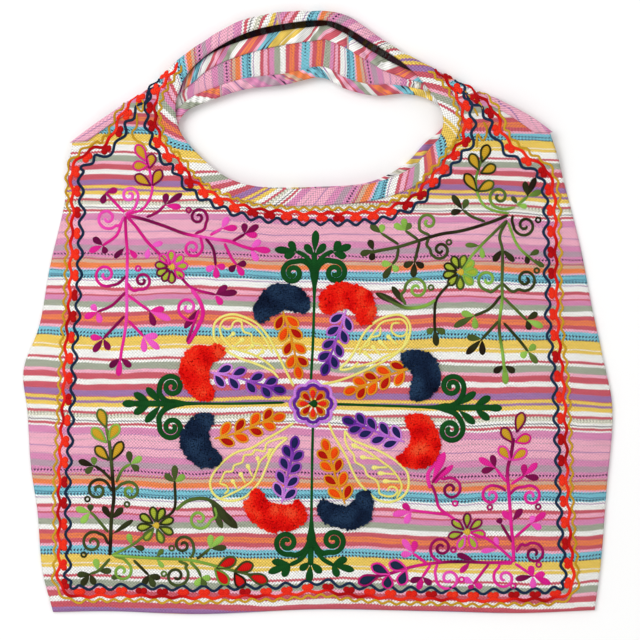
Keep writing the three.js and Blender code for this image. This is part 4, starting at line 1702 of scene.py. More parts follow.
PAISLEYS = (
    Paisley((-19, 17, -26, 31, -35, 49, -44, 66, -55, 79, -66, 85, -79, 88.5, -90, 86, -97, 80, -98.5, 71,
             -97, 63, -90, 55, -82, 50, -70, 44, -58, 40, -46, 35, -39, 31, -34, 25),
            ((-40, 50, -48, 65, -58, 76, -68, 82, -80, 85, -88, 83, -91.5, 78, -92, 72, -88, 63, -81, 56,
              -70, 52, -59, 48.5, -46, 41, -37, 33),
             (-90, 77, -86, 74, -81, 75, -79, 80, -76, 82, -71, 81, -70, 75, -68, 71, -61, 68.5, -60, 61,
              -52, 58.5, -46, 53)),
            ((-86, 64, -78, 70), (-78, 57, -69, 64), (-67, 52, -59, 58), (-56, 47, -49, 52))),
    Paisley((9, 19, 23, 22, 38, 27, 54, 34, 72, 43, 83, 50, 92, 59, 95.5, 67, 96.5, 76, 93, 84, 86, 88,
             76, 87, 65, 83, 56, 76, 49, 67, 43, 55, 36, 44, 27, 34, 38, 35, 45, 41),
            ((50, 57, 60, 70, 68, 80, 78, 83, 89, 83, 93.5, 76, 91, 68, 84, 67, 78, 72, 79, 79, 86, 80),
             (94, 70, 89, 56, 83, 51, 72, 47, 63, 42, 52, 38.5, 42, 36),
             (67, 76, 66, 68, 57, 65, 55, 58, 48, 55, 46, 48)),
            ((84, 58, 74, 67), (76, 52, 66, 62), (67, 48, 59, 57), (58, 44, 51, 51))),
    Paisley((-19, -19, -30, -26, -46, -35, -61, -44, -75, -48, -86, -55, -93.5, -62.5, -99, -70, -102, -79,
             -99, -89, -91, -95, -79, -96.5, -67, -92.5, -59, -85, -52, -76, -47, -65, -41, -51, -35, -42.5,
             -25, -34),
            ((-26, -33.5, -35, -35, -46, -40, -48, -47, -57, -46, -60, -50, -68, -51.5, -70, -58, -78,
              -61.5,
              -80, -67, -87, -68, -90, -74, -92, -79, -86, -81.5, -84, -86, -88, -90),
             (-91, -94, -80, -89, -68, -82.5, -60, -76, -56, -67, -52, -57, -46, -51, -39, -44)),
            ((-75, -85, -80, -76), (-67, -79, -72, -69), (-60, -72.5, -65, -61), (-53.5, -62.5, -55, -53),
             (-45, -55, -42, -45))),
    Paisley((15.5, -19, 20.5, -31, 27, -42, 34, -55, 39.5, -67.5, 46, -79, 54, -87.5, 63, -95, 74, -98,
             85, -95,
             93, -87.5, 95, -77.5, 93, -67.5, 85, -59, 75, -52, 65, -46.5, 49, -40, 38, -35, 31.5, -26.5),
            ((31.5, -26.5, 32, -36, 35, -44, 40.5, -51, 42, -57.5, 50.5, -63, 54, -71, 63, -76.5, 65.5, -83,
              66, -89, 73, -92, 80, -91.5, 84, -87, 81, -83, 76, -83, 74, -87),
             (38, -40, 54, -47.5, 67, -56.5, 77, -64, 85, -74, 88, -83, 83, -94)),
            ((54, -47.5, 39.5, -41), (63, -55, 48, -53), (74, -63, 59.5, -63.5), (81.5, -70, 65.5, -69),
             (86, -77.5, 70.5, -77))),
)

BORDERS = (
    (Border((-160, 322, -168, 312, -176, 303, -182, 294.5, -190.5, 284, -196, 271, -201, 262, -209.5, 254,
             -221, 251, -230, 244, -238, 236, -239, 222, -238.5, 205, -238.5, 180, -239.5, 140, -241.5, 90,
             -244.5, 50, -245.5, 20, -247.5, -20, -249.5, -50, -251, -90, -251, -130, -251.5, -160, -252,
             -174, -248, -185, -238, -191,
             -225, -191, -190, -190, -150, -191.5, -110, -192, -70, -191.5, -30, -190,
             7, -186, 40, -190, 80, -193, 130, -194, 180, -195, 215, -194, 235, -194, 248, -191, 256, -183,
             257, -168, 254, -140, 252, -100, 250, -60, 249, -20, 248, 3, 246, 30, 243, 60,
             241.5, 90, 240.5, 130, 240, 170, 239, 205, 236, 222, 230, 234, 221, 239, 208, 248, 196, 258,
             187, 268, 182, 284, 170, 299, 163, 305, 155, 312, 147, 318), 1, 20.8), 5),
    (Border((-135, 339, -142, 329, -150, 318, -155, 308, -158.5, 297, -158.5, 282, -153, 262, -147,
             250.5, -134, 240,
             -121, 221, -113, 215, -98, 206, -78, 197, -53, 191, -23, 188, 7, 187, 37, 187, 59, 188.5,
             72, 191.5, 90, 198, 105, 208, 117, 221, 130, 237, 143, 253, 150.5, 263, 152, 276, 151, 289,
             146, 303, 138, 316, 128, 328, 120, 336), -1, 17), 8),
)

CROSS_STEMS = (
    ((1.5, 138, 1.5, 118, 1.2, 100, 0, 60, -2, 23), (8, 9.5, 5, 3.6, *[3.4] * 8)),
    ((0, -20, -1, -70, -1.5, -120, -1.8, -144), (*[3.4] * 9, 3.8, 5.5, 10, 8)),
    ((-148, 0, -128, 0, -80, 0, -28, 1), (8, 9.5, 4.6, 3.6, *[3.3] * 8)),
    ((22, -0.5, 70, -2, 120, -3.6, 142, -4), (*[3.3] * 8, 3.6, 4.8, 9.5, 8)),
    ((1.2, 134, 1.5, 150), 6.0), ((-2, -143, -2.5, -161), 6.0), ((-143, 0, -178, 0), 6.5), ((136, -4,
                                                                                             178, -4), 6.5),
    ((0, 137, -7, 146, -16, 151), 4.8), ((3, 137, 10, 146, 20, 151.5), 4.8),
    ((-4, -143, -12, -155, -23, -161), 4.8), ((1, -143, 10, -155, 20, -161), 4.8),
)
CROSS_SCROLLS = (
    ((1, 128, -3, 137, -10, 141.5), -20, 129.5, 11.5, 80, 1.75),
    ((2, 128, 6, 137, 13, 142), 22, 130, 11.5, 100, -1.75),
    ((-1.5, -134, -8, -146, -17, -151), -26, -138.5, 12.5, 290, -1.75),
    ((-1.5, -134, 4, -144, 10, -149), 20, -136.5, 12.5, 250, 1.75),
    ((-134, 0, -146, 3, -152, 10), -140, 17, 12, 185, -1.75),
    ((-134, 0, -147, -6, -152.5, -14), -140, -23.5, 12.5, 165, 1.75),
    ((126, -4, 140, -1, 147, 6), 138, 17, 12, -15, 1.75),
    ((126, -4, 141, -10, 147, -18), 136.5, -26, 12.5, 15, -1.75),
)
CROSS_LEAVES = (
    (-16, 151, -38, 153), (-16, 150, -23.5, 161), (-16, 150, -28.5, 145.5), (1.5, 149, 3, 172), (1, 146,
                                                                                                 -8, 158),
    (2, 146, 12.5, 158.5), (20, 151, 27, 161), (20, 151, 38, 156.5), (19, 150, 33, 145.5),
    (-22, -160, -41, -157.5), (-22, -160, -44.5, -169), (-22, -159, -30, -173), (-2.5, -158, -13, -166),
    (-2.5, -160, -4, -179), (-2.5, -158, 8.5, -169), (19, -160, 34, -154.5), (19, -160, 41, -166.5),
    (19, -159, 25, -173), (-150, 0, -165, 16), (-150, -1, -166, -18.5), (-160, 0, -177.5, 10.5), (-160,
                                                                                                  0,
                                                                                                  -177.5,
                                                                                                  -10),
    (-170, 0, -189, 0), (143, -2, 161.5, 11.5), (144, -6, 160.5, -20), (159, -3, 176, 7), (160, -5, 175,
                                                                                           -16),
    (168, -4, 187.5, -4.5),
)

VINES = (
    Vine(
        "top_left_vine", "magenta_yarn",
        (((-186, 188, -170, 193, -162, 205, -160, 217, -163, 233, -165, 245), (0.6, 0.8, 0.75), 3.2),
         ((-187, 186, -186, 167, -184.5, 150, -184.5, 134, -185, 117, -184.5, 100, -185, 84, -187, 67,
           -190, 51, -191, 43), (0.3, 0.6, 0.85, 0.9, 0.8, 0.6), 3.8),
         ((-186, 187, -177, 177, -164, 160, -149, 145, -140, 136), (0.5, 0.4, 0.55), 3.8),
         ((-186, 187, -172, 184, -150, 177, -127, 168.5, -109, 165, -97, 163, -83, 161, -70, 156,
           -58, 152.5), (0.6, 0.1, 0.1, 0.15, 0.9, 0.9, 0.6, 0.55), 4.0),
         ((-134, 129, -120.5, 115, -97, 108), (0.1, 0.5, 0.2), 3.4),
         ((-120.5, 114, -112, 101, -109, 89, -115, 74, -124, 59), (0.8, 0.6, 0.5), 5.0),
         ((-113, 93, -119, 77, -125, 61), (0.55, 0.3), 3.6)),
        (((-187, 188, -178, 194), -183, 207, 9.5, -30, 1.45, (0.85, 1)),
         ((-188, 186, -193, 177), -205, 184.5, 12, -40, -1.4, (0.8, 1)),
         ((-185, 127, -193.5, 119), -206, 128, 12.5, -60, -1.45, (0.15, 0.95)),
         ((-184.5, 120, -178, 112), -169.5, 122, 9.5, -110, 1.5, (0.6, 0.1), (-173.5, 134)),
         ((-117, 83, -122, 82), -124, 95.5, 11, 250, -1.35, (0.6, 1)),
         ((-117, 168.5, -108, 173), -114, 185, 10, -40, 1.5, (0.3, 0.05), (-123.5, 192)),
         ((-112, 167, -110, 158), -119.5, 154.5, 10, 5, -1.5, (0.4, 0.95))),
        (((-188, 190, -207, 210), (-210.5, 199, 0.1, -195, 213, 0.3), (0.7, 0.4)),
         ((-190, 183, -195, 168, -209, 157), (-223, 151, 0.6, -219, 165, 0.05, -206, 149, 0.05), (0.8,
                                                                                                  0.5)),
         ((-186, 110.5, -200, 97, -214, 91), (-227, 85, 0.6, -220, 98, 0.95, -211, 80, 0.95), (0.3, 0.2)),
         ((-183, 107, -162, 92), (-147, 94, 0.6, -141, 83, 0.95, -157, 77, 0.1), (0.7, 0.6)),
         ((-187, 86.5, -208, 64.5), (-221, 66, 0.6, -218, 51, 0.1, -202, 53, 0.15), (0.2, 0.1)),
         ((-183, 82.5, -168, 67), (-153.5, 67, 0.95, -152, 54, 0.95, -167, 51, 0.95), (0.6, 0.6)),
         ((-191, 45), (-202, 36, 0.05, -193, 27, 0.6, -180, 36.5, 0.1)),
         ((-97, 108), (-85, 117, 0.1, -75, 110.5, 0.1, -90, 98, 0.6)),
         ((-165.5, 185, -155, 190, -147.5, 197), (-146, 209, 0.1, -130, 208.5, 0.1, -131, 195, 0.6),
          (0.2, 0.3)),
         ((-107, 165, -99, 153, -96.5, 137), (-95.5, 124, 0.6, -106, 132, 0.95, -87, 135, 0.6), (0.1, 0.1)),
         ((-102, 167, -91, 173.5), (-84, 185, 1, -75, 174.5, 0.6), (0.8, 0.9)),
         ((-80, 161, -68, 168), (-68, 179, 0.1, -54, 177, 0.1, -55, 167, 0.6), (0.3, 0.1)),
         ((-88, 159, -80, 143, -76, 138), (-83, 131, 0.05, -66, 139, 0.05, -69, 127, 0.6), (0.6, 0.6)),
         ((-58, 152.5, -62, 154), (-42, 151.5, 0.6, -52, 162, 1, -55, 141, 1), (0.6, 0.6))),
        ((-187, 155, -197.5, 144.5, 0.05, 6.4), (-183, 153.5, -175, 144.5, 0.5, 6), (-162, 156, -149,
                                                                                     159.5, 1, 6),
         (-163, 155, -165, 144, 1, 6), (-111, 96, -127.5, 74.5, 0.08, 7)),
        ((-166, 241, -175.5, 257, 0.65), (-163, 234, -160, 248, 0.15), (-164.5, 237, -179, 236, 0.7),
         (-160, 217, -151.5, 232, 0.1), (-162, 217, -177, 227, 0.1)),
        (-140.5, 135.5, 16),
        ((5, 0.85), (45, 0.9), (90, 0.85), (132, 0.8), (172, 0.15), (208, 0.05), (240, 0.05), (272, 0.1),
         (318, 0.6)),
    ),
    Vine(
        "top_right_vine", "meadow_yarn",
        (((195, 189, 182, 191, 171, 196, 164, 208, 162, 222, 165, 234, 169, 246), (0.8, 0.9, 0.7, 0.5),
          3.2),
         ((193, 182, 178, 168, 167, 157, 157, 146, 148, 133), (0.3, 0.7, 0.9), 3.4),
         ((137, 121, 122.5, 103, 120.5, 85, 121, 70), (0.1, 0.05, 0.05), 3.4),
         ((122.5, 103, 110, 96.5, 92, 95, 78, 101, 65, 109), (0.7, 0.9, 0.5, 0.1), 4.0),
         ((193, 182, 185.5, 166, 188, 153, 187.5, 121, 187.5, 103, 184.5, 76, 188, 49, 190, 30),
          (0.2, 0.3, 0.3, 0.5, 0.9, 0.3, 0.9, 0.7), 3.8),
         ((194, 180, 203.5, 157, 216, 144.5, 224, 138.5), (0.8, 0.9, 0.3), 3.4),
         ((194, 187, 175, 179.5, 148, 171.5, 126.5, 168, 103, 161, 85, 155.5, 67, 152, 56, 149.5),
          (0.1, 0.05, 0.05, 0.1, 0.3, 0.3), 4.0)),
        (((201, 195, 190, 193), 185.5, 205.5, 11, 250, -1.4, (0.9, 0.3)),
         ((199, 187, 198, 182), 211, 177, 12, 175, 1.5, (0.05, 0.2), (224.5, 182.5)),
         ((92, 98, 87.5, 108), 103, 113.5, 12.5, 190, -1.5, (0.4, 0.95), (117, 115)),
         ((186.5, 118, 176, 110.5), 173, 123, 11, 270, -1.3, (0.4, 1)),
         ((188, 119, 198, 111), 211, 123, 12, 235, 1.55, (0.3, 0.05), (222.5, 132)),
         ((116, 167, 106.5, 172), 114.5, 180, 9.5, 200, -1.3, (0.3, 0.9)),
         ((115.5, 166, 113, 157), 126.5, 152.5, 10.5, 175, 1.5, (0.3, 0.05), (135, 160))),
        (((203, 197, 214, 206), (211, 221, 0.1, 222, 225, 0.02, 228, 211.5, 0.6), (0.9, 0.6)),
         ((171, 180.5, 157, 186, 149, 192), (138.5, 207, 0.02, 153.5, 203, 0.3, 137, 189, 0.05), (0.3,
                                                                                                  0.2)),
         ((188, 153), (179, 141, 0.02, 200, 141, 0.05)),
         ((120.5, 75), (122.5, 57, 0.1, 113, 70, 0.5, 131, 70, 0.4)),
         ((186.5, 107, 175, 94, 160, 87), (139.5, 76, 0.35, 147, 90, 0.95, 161, 74, 0.9), (0.05, 0.3)),
         ((189, 105, 205.5, 89, 212, 83), (228.5, 76, 0.9, 223, 90, 0.1, 215, 73, 0.05), (0.5, 0.4)),
         ((184, 82, 167.5, 64), (152.5, 66, 0.3, 152, 49, 0.02, 168, 48, 0.02), (0.3, 0.2)),
         ((189, 80, 203.5, 64, 213, 52), (222.5, 40, 0.5, 206, 46, 0.95, 221, 58, 0.9), (0.1, 0.2)),
         ((190, 38), (179, 31, 0.02, 200, 31, 0.05, 191, 19, 0.8)),
         ((104.5, 162.5, 92, 171.5), (80.5, 178, 0.95, 90, 184, 0.9, 97, 179, 0.5), (0.2, 0.4)),
         ((85, 158, 68, 169), (57, 177.5, 0.35, 69, 178, 0.95), (0.2, 0.4)),
         ((60, 152), (56, 162.5, 0.02, 47, 148, 0.3, 58, 142, 0.02)),
         ((85, 154.5, 83, 144, 79, 138), (70, 124, 0.2, 68, 139, 0.95, 84, 131, 0.9), (0.2, 0.3)),
         ((106, 161, 101, 141), (90, 136, 0.02, 99.5, 125, 0.05, 110, 135, 0.02), (0.2, 0.2))),
        ((204, 198, 198, 206, 0.3, 5.5), (204, 197, 213.5, 196, 0.95, 6), (166, 156.5, 151, 157.5, 0.5,
                                                                           5.5),
         (167, 156, 168.5, 144, 0.95, 6), (213, 149, 213, 138.5, 0.02, 6), (215, 147, 225, 152, 0.3, 6),
         (218, 143, 230, 136, 0.4, 6), (92, 96, 62, 109.5, 0.1, 7), (91, 98, 78.5, 116, 0.1, 7)),
        ((168, 240, 174, 257, 0.1), (165, 232, 157, 248, 0.15), (167, 229, 181.5, 236, 0.1),
         (163, 211, 151.5, 228, 0.1), (164, 211, 179.5, 220, 0.3)),
        (146, 130.3, 17),
        ((0, 0.95), (40, 0.9), (75, 0.3), (115, 0.1), (155, 0.02), (192, 0.05), (228, 0.1), (270, 0.3),
         (315, 0.9)),
    ),
    Vine(
        "bottom_left_vine", "meadow_yarn",
        (((-202, -151, -201, -134, -200, -114, -197.5, -93, -198.5, -76, -200, -56, -202.5, -35, -205, -24),
          (0.1, 0.05, 0.02, 0.05, 0.3, 0.6), 4.4),
         ((-200, -151, -180, -141, -167, -131, -159, -124), (0.8, 0.5), 3.2),
         ((-149, -115, -138, -105.5, -137, -77), (0.1, 0.02, 0.05), 3.4),
         ((-136, -105.5, -124, -96.5, -107, -94.5, -94, -101.5, -80, -118), (0.6, 0.4, 0.2, 0.1), 4.4),
         ((-200, -151, -177, -153, -152, -154.5, -127, -155.5, -110, -158.5, -89, -164.5, -69, -169.5,
           -60, -172), (0.9, 0.9, 0.7, 0.9, 0.6, 0.3), 3.6)),
        (((-199.5, -87, -204, -79), -213.5, -86, 11.5, 55, 1.45, (0.05, 0.3), (-224, -95)),
         ((-196, -86, -190, -80), -181.5, -87, 10, 125, -1.5, (0.3, 0.8), (-184.5, -100)),
         ((-203.5, -140, -208, -131), -219, -138.5, 12, 45, 1.45, (0.05, 0.4), (-228, -150.5)),
         ((-97.5, -103, -96, -112), -113, -114.5, 11.5, -10, -1.4, (0.8, 0.95)),
         ((-122, -154, -118.5, -148), -129, -141, 10.5, -10, 1.5, (0.4, 0.05), (-140.5, -144)),
         ((-198, -152, -188, -155), -190.5, -167.5, 11, 60, -1.35, (0.7, 0.95)),
         ((-134, -157, -125, -161), -136, -172, 13, 45, -1.55, (0.5, 0.05), (-148.5, -170))),
        (((-198.5, -77, -210, -66, -217, -62), (-233, -57, 0.02, -217.5, -53, 0.6, -226, -69, 0.3),
          (0.02, 0.02)),
         ((-195, -78, -188.5, -65, -181, -60), (-182.5, -47, 0.25, -169.5, -53, 0.9, -172.5, -66, 0.3),
          (0.3, 0.8)),
         ((-200, -115), (-208.5, -102, 0.02, -188.5, -103.5, 0.1)),
         ((-203.5, -128, -216.5, -112, -221, -108), (-236, -104.5, 0.95, -221, -100, 0.3, -230.5, -119,
                                                     0.95),
          (0.3, 0.6)),
         ((-202, -154.5, -214, -167, -222, -170), (-235, -171, 0.1, -231, -182, 0.05, -217.5, -181, 0.1),
          (0.5, 0.4)),
         ((-214, -167), (-216.5, -154.5, 0.95, -200.5, -167, 0.25)),
         ((-137, -78), (-137, -61, 0.3, -147, -70, 0.3, -127, -71, 0.85)),
         ((-115.5, -155, -102.5, -144.5), (-101.5, -130.5, 0.95, -89, -132, 0.95, -86, -143.5, 0.2),
          (0.1, 0.5)),
         ((-178.5, -156, -164, -171), (-169, -181, 0.05, -158, -183.5, 0.2, -152, -174.5, 0.05), (0.2,
                                                                                                  0.1)),
         ((-122, -158, -114, -167, -111.5, -173), (-117, -182, 0.95, -102, -175, 0.9, -107.5, -183, 0.4),
          (0.6, 0.3))),
        ((-200, -130.5, -178.5, -115.5, 0.1, 5.5), (-178.5, -142, -167.5, -145, 0.2, 6.5),
         (-180, -141, -183.5, -129.5, 0.95, 6.5), (-104, -96, -75, -124, 0.15, 10), (-101, -100, -90,
                                                                                     -124, 0.3, 7),
         (-156, -153.5, -149, -145, 0.5, 5.5), (-155.5, -155, -149, -163.5, 0.9, 5.5), (-190, -172, -201,
                                                                                        -174, 0.3, 6)),
        ((-205, -24, -212, -6, 0.45), (-205, -38.5, -219, -25, 0.9), (-202, -36, -193, -21, 0.9),
         (-202.5, -56, -215.5, -43, 0.2), (-199.5, -56, -189, -38, 0.1)),
        (-156, -121, 18.5),
        ((20, 0.1), (65, 0.1), (100, 0.2), (145, 0.1), (188, 0.1), (232, 0.5), (290, 0.4), (335, 0.2)),
    ),
    Vine(
        "bottom_right_vine", "magenta_yarn",
        (((199.5, -158, 199, -143, 197, -123, 195.5, -103, 194, -83, 193, -66, 196.5, -50, 199, -34),
          (0.7, 0.6, 0.7, 0.6, 0.1, 0.1), 4.2),
         ((199, -156, 186.5, -144.5, 173, -134.5, 160, -129), (0.6, 0.7), 3.4),
         ((145, -118, 133, -109.5, 125, -103, 121.5, -90, 117.5, -80), (0.9, 0.6, 0.3, 0.3), 3.6),
         ((116, -84, 114, -70, 121, -59, 126.5, -50), (0.7, 0.8, 0.75), 4.6),
         ((118, -79, 124, -71, 132, -63), (0.2, 0.2), 2.8),
         ((135, -110.5, 113.5, -108, 96, -105.5), (0.6, 0.8), 3.2),
         ((199, -158, 175, -158.5, 146.5, -157.5, 125, -158.5, 100, -162.5, 77, -169.5, 62, -173),
          (0.6, 0.3, 0.05, 0.5, 0.4, 0.1), 4.0)),
        (((191.5, -87, 186, -83), 177, -91.5, 11, 60, 1.4, (0.3, 0.95), (175.5, -103)),
         ((194.5, -91, 202, -84), 216, -92, 11.5, 125, -1.45, (0.3, 0.95), (223.5, -102.5)),
         ((202, -148, 207, -140), 219.5, -149.5, 12, 135, -1.55, (0.4, 0.1), (224.5, -160.5)),
         ((198, -159.5, 186, -160), 191, -174, 12.5, 120, 1.45, (0.6, 0.95), (199.5, -182)),
         ((120.5, -79, 126, -73.5), 136.5, -85, 12.5, 125, -1.5, (0.5, 0.1), (141, -99)),
         ((128.5, -158.5, 119.5, -153), 127.5, -143.5, 11, 195, -1.5, (0.4, 0.1), (139.5, -145.5)),
         ((124, -159, 121.5, -168), 135, -174.5, 13, 170, 1.45, (0.7, 1), (148, -175.5))),
        (((192, -78, 181, -64), (164.5, -54, 0.7, 177.5, -51, 0.1, 167, -67.5, 0.1), (0.7, 0.8)),
         ((196.5, -80, 209, -72), (209.5, -60, 0.4, 222.5, -59, 0.7, 224, -74, 0.05), (0.7, 0.6)),
         ((198, -117), (188, -107, 0.7, 207.5, -104.5, 0.15)),
         ((198, -138, 187, -120), (184, -114, 0.08), (0.2, 0.1)),
         ((200.5, -133, 216, -119.5), (231, -108.5, 0.6, 219.5, -111.5, 0.95, 227, -124, 0.95), (0.6, 0.6)),
         ((201, -159.5, 219.5, -172), (236.5, -180, 0.5, 216, -161.5, 0.6, 231, -169.5, 0.7), (0.7, 0.6)),
         ((219, -172), (201.5, -175.5, 0.08, 219.5, -185, 0.95)),
         ((98, -107), (89, -99.5, 0.4, 79, -110.5, 0.95, 91.5, -119, 0.95)),
         ((175, -159.5, 166.5, -171, 160, -180), (150, -174, 0.95, 169, -183.5, 0.7, 156, -186, 0.4),
          (0.3, 0.5)),
         ((113.5, -159.5, 100, -149.5), (89, -135, 0.95, 101.5, -136.5, 0.6, 87.5, -150.5, 0.9), (0.7,
                                                                                                  0.7)),
         ((117, -161, 109, -173), (97, -178, 0.08, 105, -186, 0.5, 118, -181, 0.15), (0.7, 0.6))),
        ((160, -156, 143, -150, 0.05, 7), (156.5, -158, 146.5, -168.5, 0.5, 6.5), (184, -144.5, 181,
                                                                                   -132.5, 0.95, 6),
         (183, -145, 167, -147, 0.9, 6), (118, -77, 130.5, -48, 0.75, 8.5), (120, -78, 139, -61, 0.65, 6)),
        ((202, -28, 207.5, -9, 0.1), (198, -38.5, 187.5, -24.5, 0.15), (200.5, -38, 215.5, -33, 0.55),
         (195.5, -56, 185, -43, 0.85), (197, -56, 211.5, -46, 0.85)),
        (152.5, -127.5, 18.5),
        ((-8, 0.6), (38, 0.15), (88, 0.1), (140, 0.15), (195, 0.15), (245, 0.9), (300, 0.85)),
    ),
)

# Single leaves with their own fill at the ends of the lower vines
RED_LEAVES = (
    (-96, -164.5, -77, -155, 0.3), (-97.5, -165, -85, -180.5, 0.7), (-78, -167.5, -60, -160.5, 0.2),
    (-78, -169.5, -69.5, -183.5, 0.02), (-65, -171, -45.5, -178, 0.3),
)
NAVY_LEAVES = (
    (94, -165.5, 76, -159, 0.8), (92.5, -166, 87, -181, 0.8), (76.5, -170, 58.5, -161.5, 0.8),
    (75, -170.5, 74, -184.5, 0.6), (65, -172, 45.5, -179, 0.3),
)
SHOULDER_CHAINS = (
    (-173.5, 302, -175, 295, -170, 290, -169, 300, -173.5, 303), (-175, 288, -175.5, 275, -180, 269.5,
     -177, 262.5, -170, 258.5, -165, 251),
    (150, 311.5, 154, 306, 166, 298, 169.5, 290), (160, 293.5, 164, 285.5),
    (169.5, 280, 173, 273, 172, 265, 168.5, 261.5, 164, 268, 163, 254),
)


def dress(piece: bpy.types.Object, slot: str, *nodes: str) -> None:
    """Rides a piece on the bag and hides the solids that it replaces.

    Args:
        piece: the piece.
        slot: not used.
        nodes: names of the solids that it replaces.
    """
    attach(piece, PIECE_BODY)
    if nodes:
        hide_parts(*nodes)
    log.info("%s: %d faces", piece.name, len(piece.data.polygons))


@dataclass
class Studio:
    """Floor, lights and camera, over a middle given in the cut's millimetres."""

    view: tuple = (1.6, 233.6, 0.0)
    distance: float = 2.2
    field_width: float = 0.512
    floor_half: float = 3.0
    floor_level: float = -0.0004
    sky: float = 0.66
    lamps: tuple = (
        ("key_softbox", (-0.9, 0.6, 1.6), 1.0, 17.0),
        ("fill_softbox", (0.8, -0.9, 1.9), 1.4, 5.0),
    )

    def build(self) -> None:
        """Makes the floor, the lights and the camera."""
        middle = Vector(metres(np.array(self.view)))
        self.floor()
        world = bpy.data.worlds.new("studio")
        world.use_nodes = True
        background = world.node_tree.nodes["Background"]
        background.inputs["Color"].default_value = (1, 1, 1, 1)
        background.inputs["Strength"].default_value = self.sky
        bpy.context.scene.world = world
        for name, spot, size, power in self.lamps:
            light = bpy.data.lights.new(name, "AREA")
            light.size = size
            light.energy = power
            lamp = link(name, light)
            lamp.location = Vector(spot) + middle
            lamp.rotation_euler = (middle - lamp.location).to_track_quat("-Z", "Y").to_euler()
        data = bpy.data.cameras.new("camera")
        data.lens = data.sensor_width * self.distance / self.field_width
        camera = link("camera", data)
        camera.location = (middle.x, middle.y, self.distance)
        bpy.context.scene.camera = camera
        bpy.context.scene.view_settings.view_transform = "Standard"

    def floor(self) -> None:
        """Makes the plain pale floor."""
        half = self.floor_half
        corners = [(-half, -half, 0), (half, -half, 0), (half, half, 0), (-half, half, 0)]
        mesh = bpy.data.meshes.new("floor")
        mesh.from_pydata(corners, [], [(0, 1, 2, 3)])
        material, pen, shader = plain_material("pale_table", 0.8)
        noise = pen.add("ShaderNodeTexNoise")
        noise.inputs["Scale"].default_value = 3.0
        ramp = pen.ramp(noise.outputs[0], [(0.0, (0.97, 0.97, 0.965, 1)), (1.0, (0.985, 0.985, 0.98, 1))])
        pen.feed(shader.inputs["Base Color"], ramp.outputs[0])
        mesh.materials.append(material)
        floor = link("floor", mesh)
        floor.location.z = self.floor_level


# Thread colours, each from its dark to its light shade
YARNS = (
    ThreadFinish("magenta_yarn", (Shade(96, 14, 62), Shade(150, 20, 90), Shade(215, 30, 135), Shade(235,
                                                                                                    45,
                                                                                                    155),
                                  Shade(242, 95, 200))),
    ThreadFinish("meadow_yarn", (Shade(38, 30, 20), Shade(66, 78, 40), Shade(88, 112, 50), Shade(120,
                                                                                                 160, 62),
                                 Shade(152, 200, 88))),
    ThreadFinish("forest_yarn", (Shade(14, 58, 24), Shade(26, 88, 36)), drift=0.4),
    ThreadFinish("gold_yarn", (Shade(176, 120, 25), Shade(205, 160, 42), Shade(222, 186, 66))),
    ThreadFinish("lime_yarn", (Shade(130, 140, 38), Shade(168, 182, 58), Shade(190, 205, 80))),
    ThreadFinish("scarlet_yarn", (Shade(165, 14, 20), Shade(222, 26, 24), Shade(250, 58, 34))),
    ThreadFinish("navy_yarn", (Shade(22, 36, 60), Shade(38, 60, 86))),
    ThreadFinish("ember_yarn", (Shade(165, 14, 14), Shade(220, 40, 16), Shade(246, 82, 14))),
    ThreadFinish("amber_yarn", (Shade(205, 120, 20), Shade(228, 150, 34), Shade(236, 170, 50))),
    ThreadFinish("lilac_yarn", (Shade(86, 30, 140), Shade(120, 50, 172), Shade(180, 100, 208), Shade(224,
                                                                                                     150,
                                                                                                     236))),
    ThreadFinish("violet_yarn", (Shade(20, 28, 66), Shade(44, 44, 104))),
    ThreadFinish("straw_yarn", (Shade(236, 222, 96), Shade(252, 246, 150))),
)

# Cut pile, whose tufts take their shade from the point, not from the length of the yarn
PILES = (
    ThreadFinish("scarlet_pile", (Shade(205, 8, 12), Shade(240, 18, 14), Shade(255, 42, 24), Shade(255,
                                                                                                   88, 50)),
                 drift=0.05, pitch=4.0, fuzz=0.3),
    ThreadFinish("navy_pile", (Shade(16, 24, 46), Shade(26, 43, 70), Shade(42, 66, 96)),
                 drift=0.05, pitch=4.0, fuzz=0.3),
)


def embroider(surface: Surface, materials: dict) -> None:
    """Works all the flat stitching, one piece for each yarn.

    Args:
        surface: the front of the bag.
        materials: the yarns' materials by name.
    """
    yarns = {finish.name: Needle(finish.name.replace("_yarn", "_stitching"), surface) for finish in YARNS}
    gold, forest = yarns["gold_yarn"], yarns["forest_yarn"]
    for border, seed in BORDERS:
        border.work(yarns["navy_yarn"], yarns["scarlet_yarn"], gold, seed)
    for chain in SHOULDER_CHAINS:
        gold.stem(chain, (0.3, 0.6), 2.4)
    for places, width in CROSS_STEMS:
        forest.stem(places, (0.3, 0.7, 0.4), width)
    for scroll in CROSS_SCROLLS:
        forest.scroll(*scroll, (0.3, 0.7), (), (6.5, 5.6, 5.6, 5.2))
    for leaf in CROSS_LEAVES:
        forest.leaf(leaf, 0.45, 8.2)
    for spray in SPRAYS:
        fill, outline = ("ember_yarn", "amber_yarn") if spray.warm else ("violet_yarn", "lilac_yarn")
        spray.work(yarns[fill], yarns[outline])
    for paisley in PAISLEYS:
        paisley.work(yarns["straw_yarn"])
    for vine in VINES:
        vine.work(yarns[vine.finish], gold, yarns["lime_yarn"])
    for leaves, fill, outline in (
        (RED_LEAVES, "scarlet_yarn", "meadow_yarn"),
        (NAVY_LEAVES, "navy_yarn", "magenta_yarn"),
    ):
        for *ends, tone in leaves:
            yarns[fill].leaf(ends, 0.4, 9.0)
            yarns[outline].rim(ends, tone, 10.2)
    for name, needle in yarns.items():
        dress(needle.build(materials[name]), "thread")


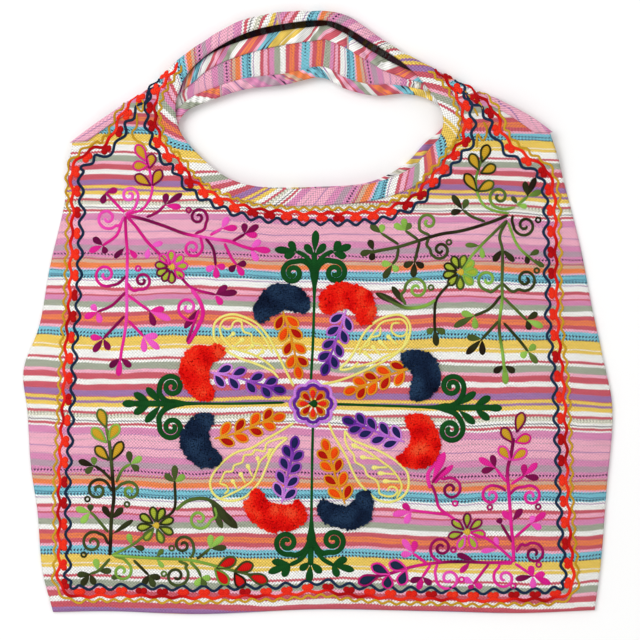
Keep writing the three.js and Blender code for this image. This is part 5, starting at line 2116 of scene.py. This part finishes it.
def rosette(surface: Surface, materials: dict) -> None:
    """Works the small lobed flower in the middle.

    Args:
        surface: the front of the bag.
        materials: the yarns' materials by name.
    """
    lilac, gold, red, middle = (
        Needle(f"rosette_{part}", surface) for part in ("outline", "petals", "stamens", "middle")
    )
    lilac.ring(0, 0, 15.8, 0.1, 3.4, 2.8)
    lilac.ring(0, 0, 19.0, 0.85, 3.2, 3.6)
    for step in range(8):
        way = unit(45 * step)
        gold.leaf((*(3.5 * way), *(16.0 * way)), 0.2, 8.4, height=1.5)
        red.leaf((*(3.5 * way), *(14.2 * way)), 0.1 if step % 2 else 0.7, 5.8, height=2.2)
    middle.leaf((-4.4, 0, 4.4, 0), 0.4, 8.0, height=2.4)
    nodes = ("rosette",)
    for needle, yarn in ((lilac, "lilac"), (gold, "amber"), (red, "scarlet"), (middle, "forest")):
        dress(needle.build(materials[f"{yarn}_yarn"]), "thread", *nodes)
        nodes = ()


def main() -> None:
    """Builds the bag from its cloth up."""
    logging.basicConfig(level=logging.INFO, format="%(name)s: %(message)s")
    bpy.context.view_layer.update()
    Studio().build()
    groups = {"striped_weave": striped_weave_group(), "yarn_twist": yarn_twist_group()}
    cotton = ClothFinish("striped_cotton").material(groups)
    bias = ClothFinish("bias_cotton", tooth=0.4).material(groups)

    front = Panel(Layer.FRONT, FRONT_OUTLINE, Grain(84, 84, 80, 6, 84), FRONT_ARM, FRONT_ARM)
    back = Panel(Layer.BACK, BACK_OUTLINE, Grain(84, 56, 50, 5, 40), BACK_LEFT_ARM, BACK_RIGHT_ARM)
    front_cloth = panel_piece("front_panel_cloth", front, cotton)
    back_cloth = panel_piece("back_panel_cloth", back, cotton)
    dress(front_cloth, "striped_cotton", "front_panel")
    dress(back_cloth, "striped_cotton", "back_panel")
    bindings = []
    # The front hole strip and the back mouth strip take painted shade under the handle
    for binding in (
        Binding("front_hole_bias", front, Edge.HOLE, FRONT_HOLE_BIAS, shaded=1.0),
        Binding("back_hole_bias", back, Edge.HOLE, BACK_HOLE_BIAS, stretch=1.64, share=0.56),
        Binding("front_mouth_bias", front, Edge.MOUTH, FRONT_MOUTH_BIAS),
        Binding("back_mouth_bias", back, Edge.MOUTH, BACK_MOUTH_BIAS, share=0.8, shaded=1.0),
    ):
        piece = binding.build(bias)
        dress(piece, "binding_cotton", binding.name.replace("_bias", "_binding"))
        bindings.append(piece)

    surface = Surface([front_cloth, *bindings])
    materials = {finish.name: finish.material(groups) for finish in (*YARNS, *PILES)}
    embroider(surface, materials)
    rosette(surface, materials)
    for head in HEADS:
        dress(head.build(surface, materials[head.slot]), head.slot, head.node)


if __name__ == "__main__":
    main()
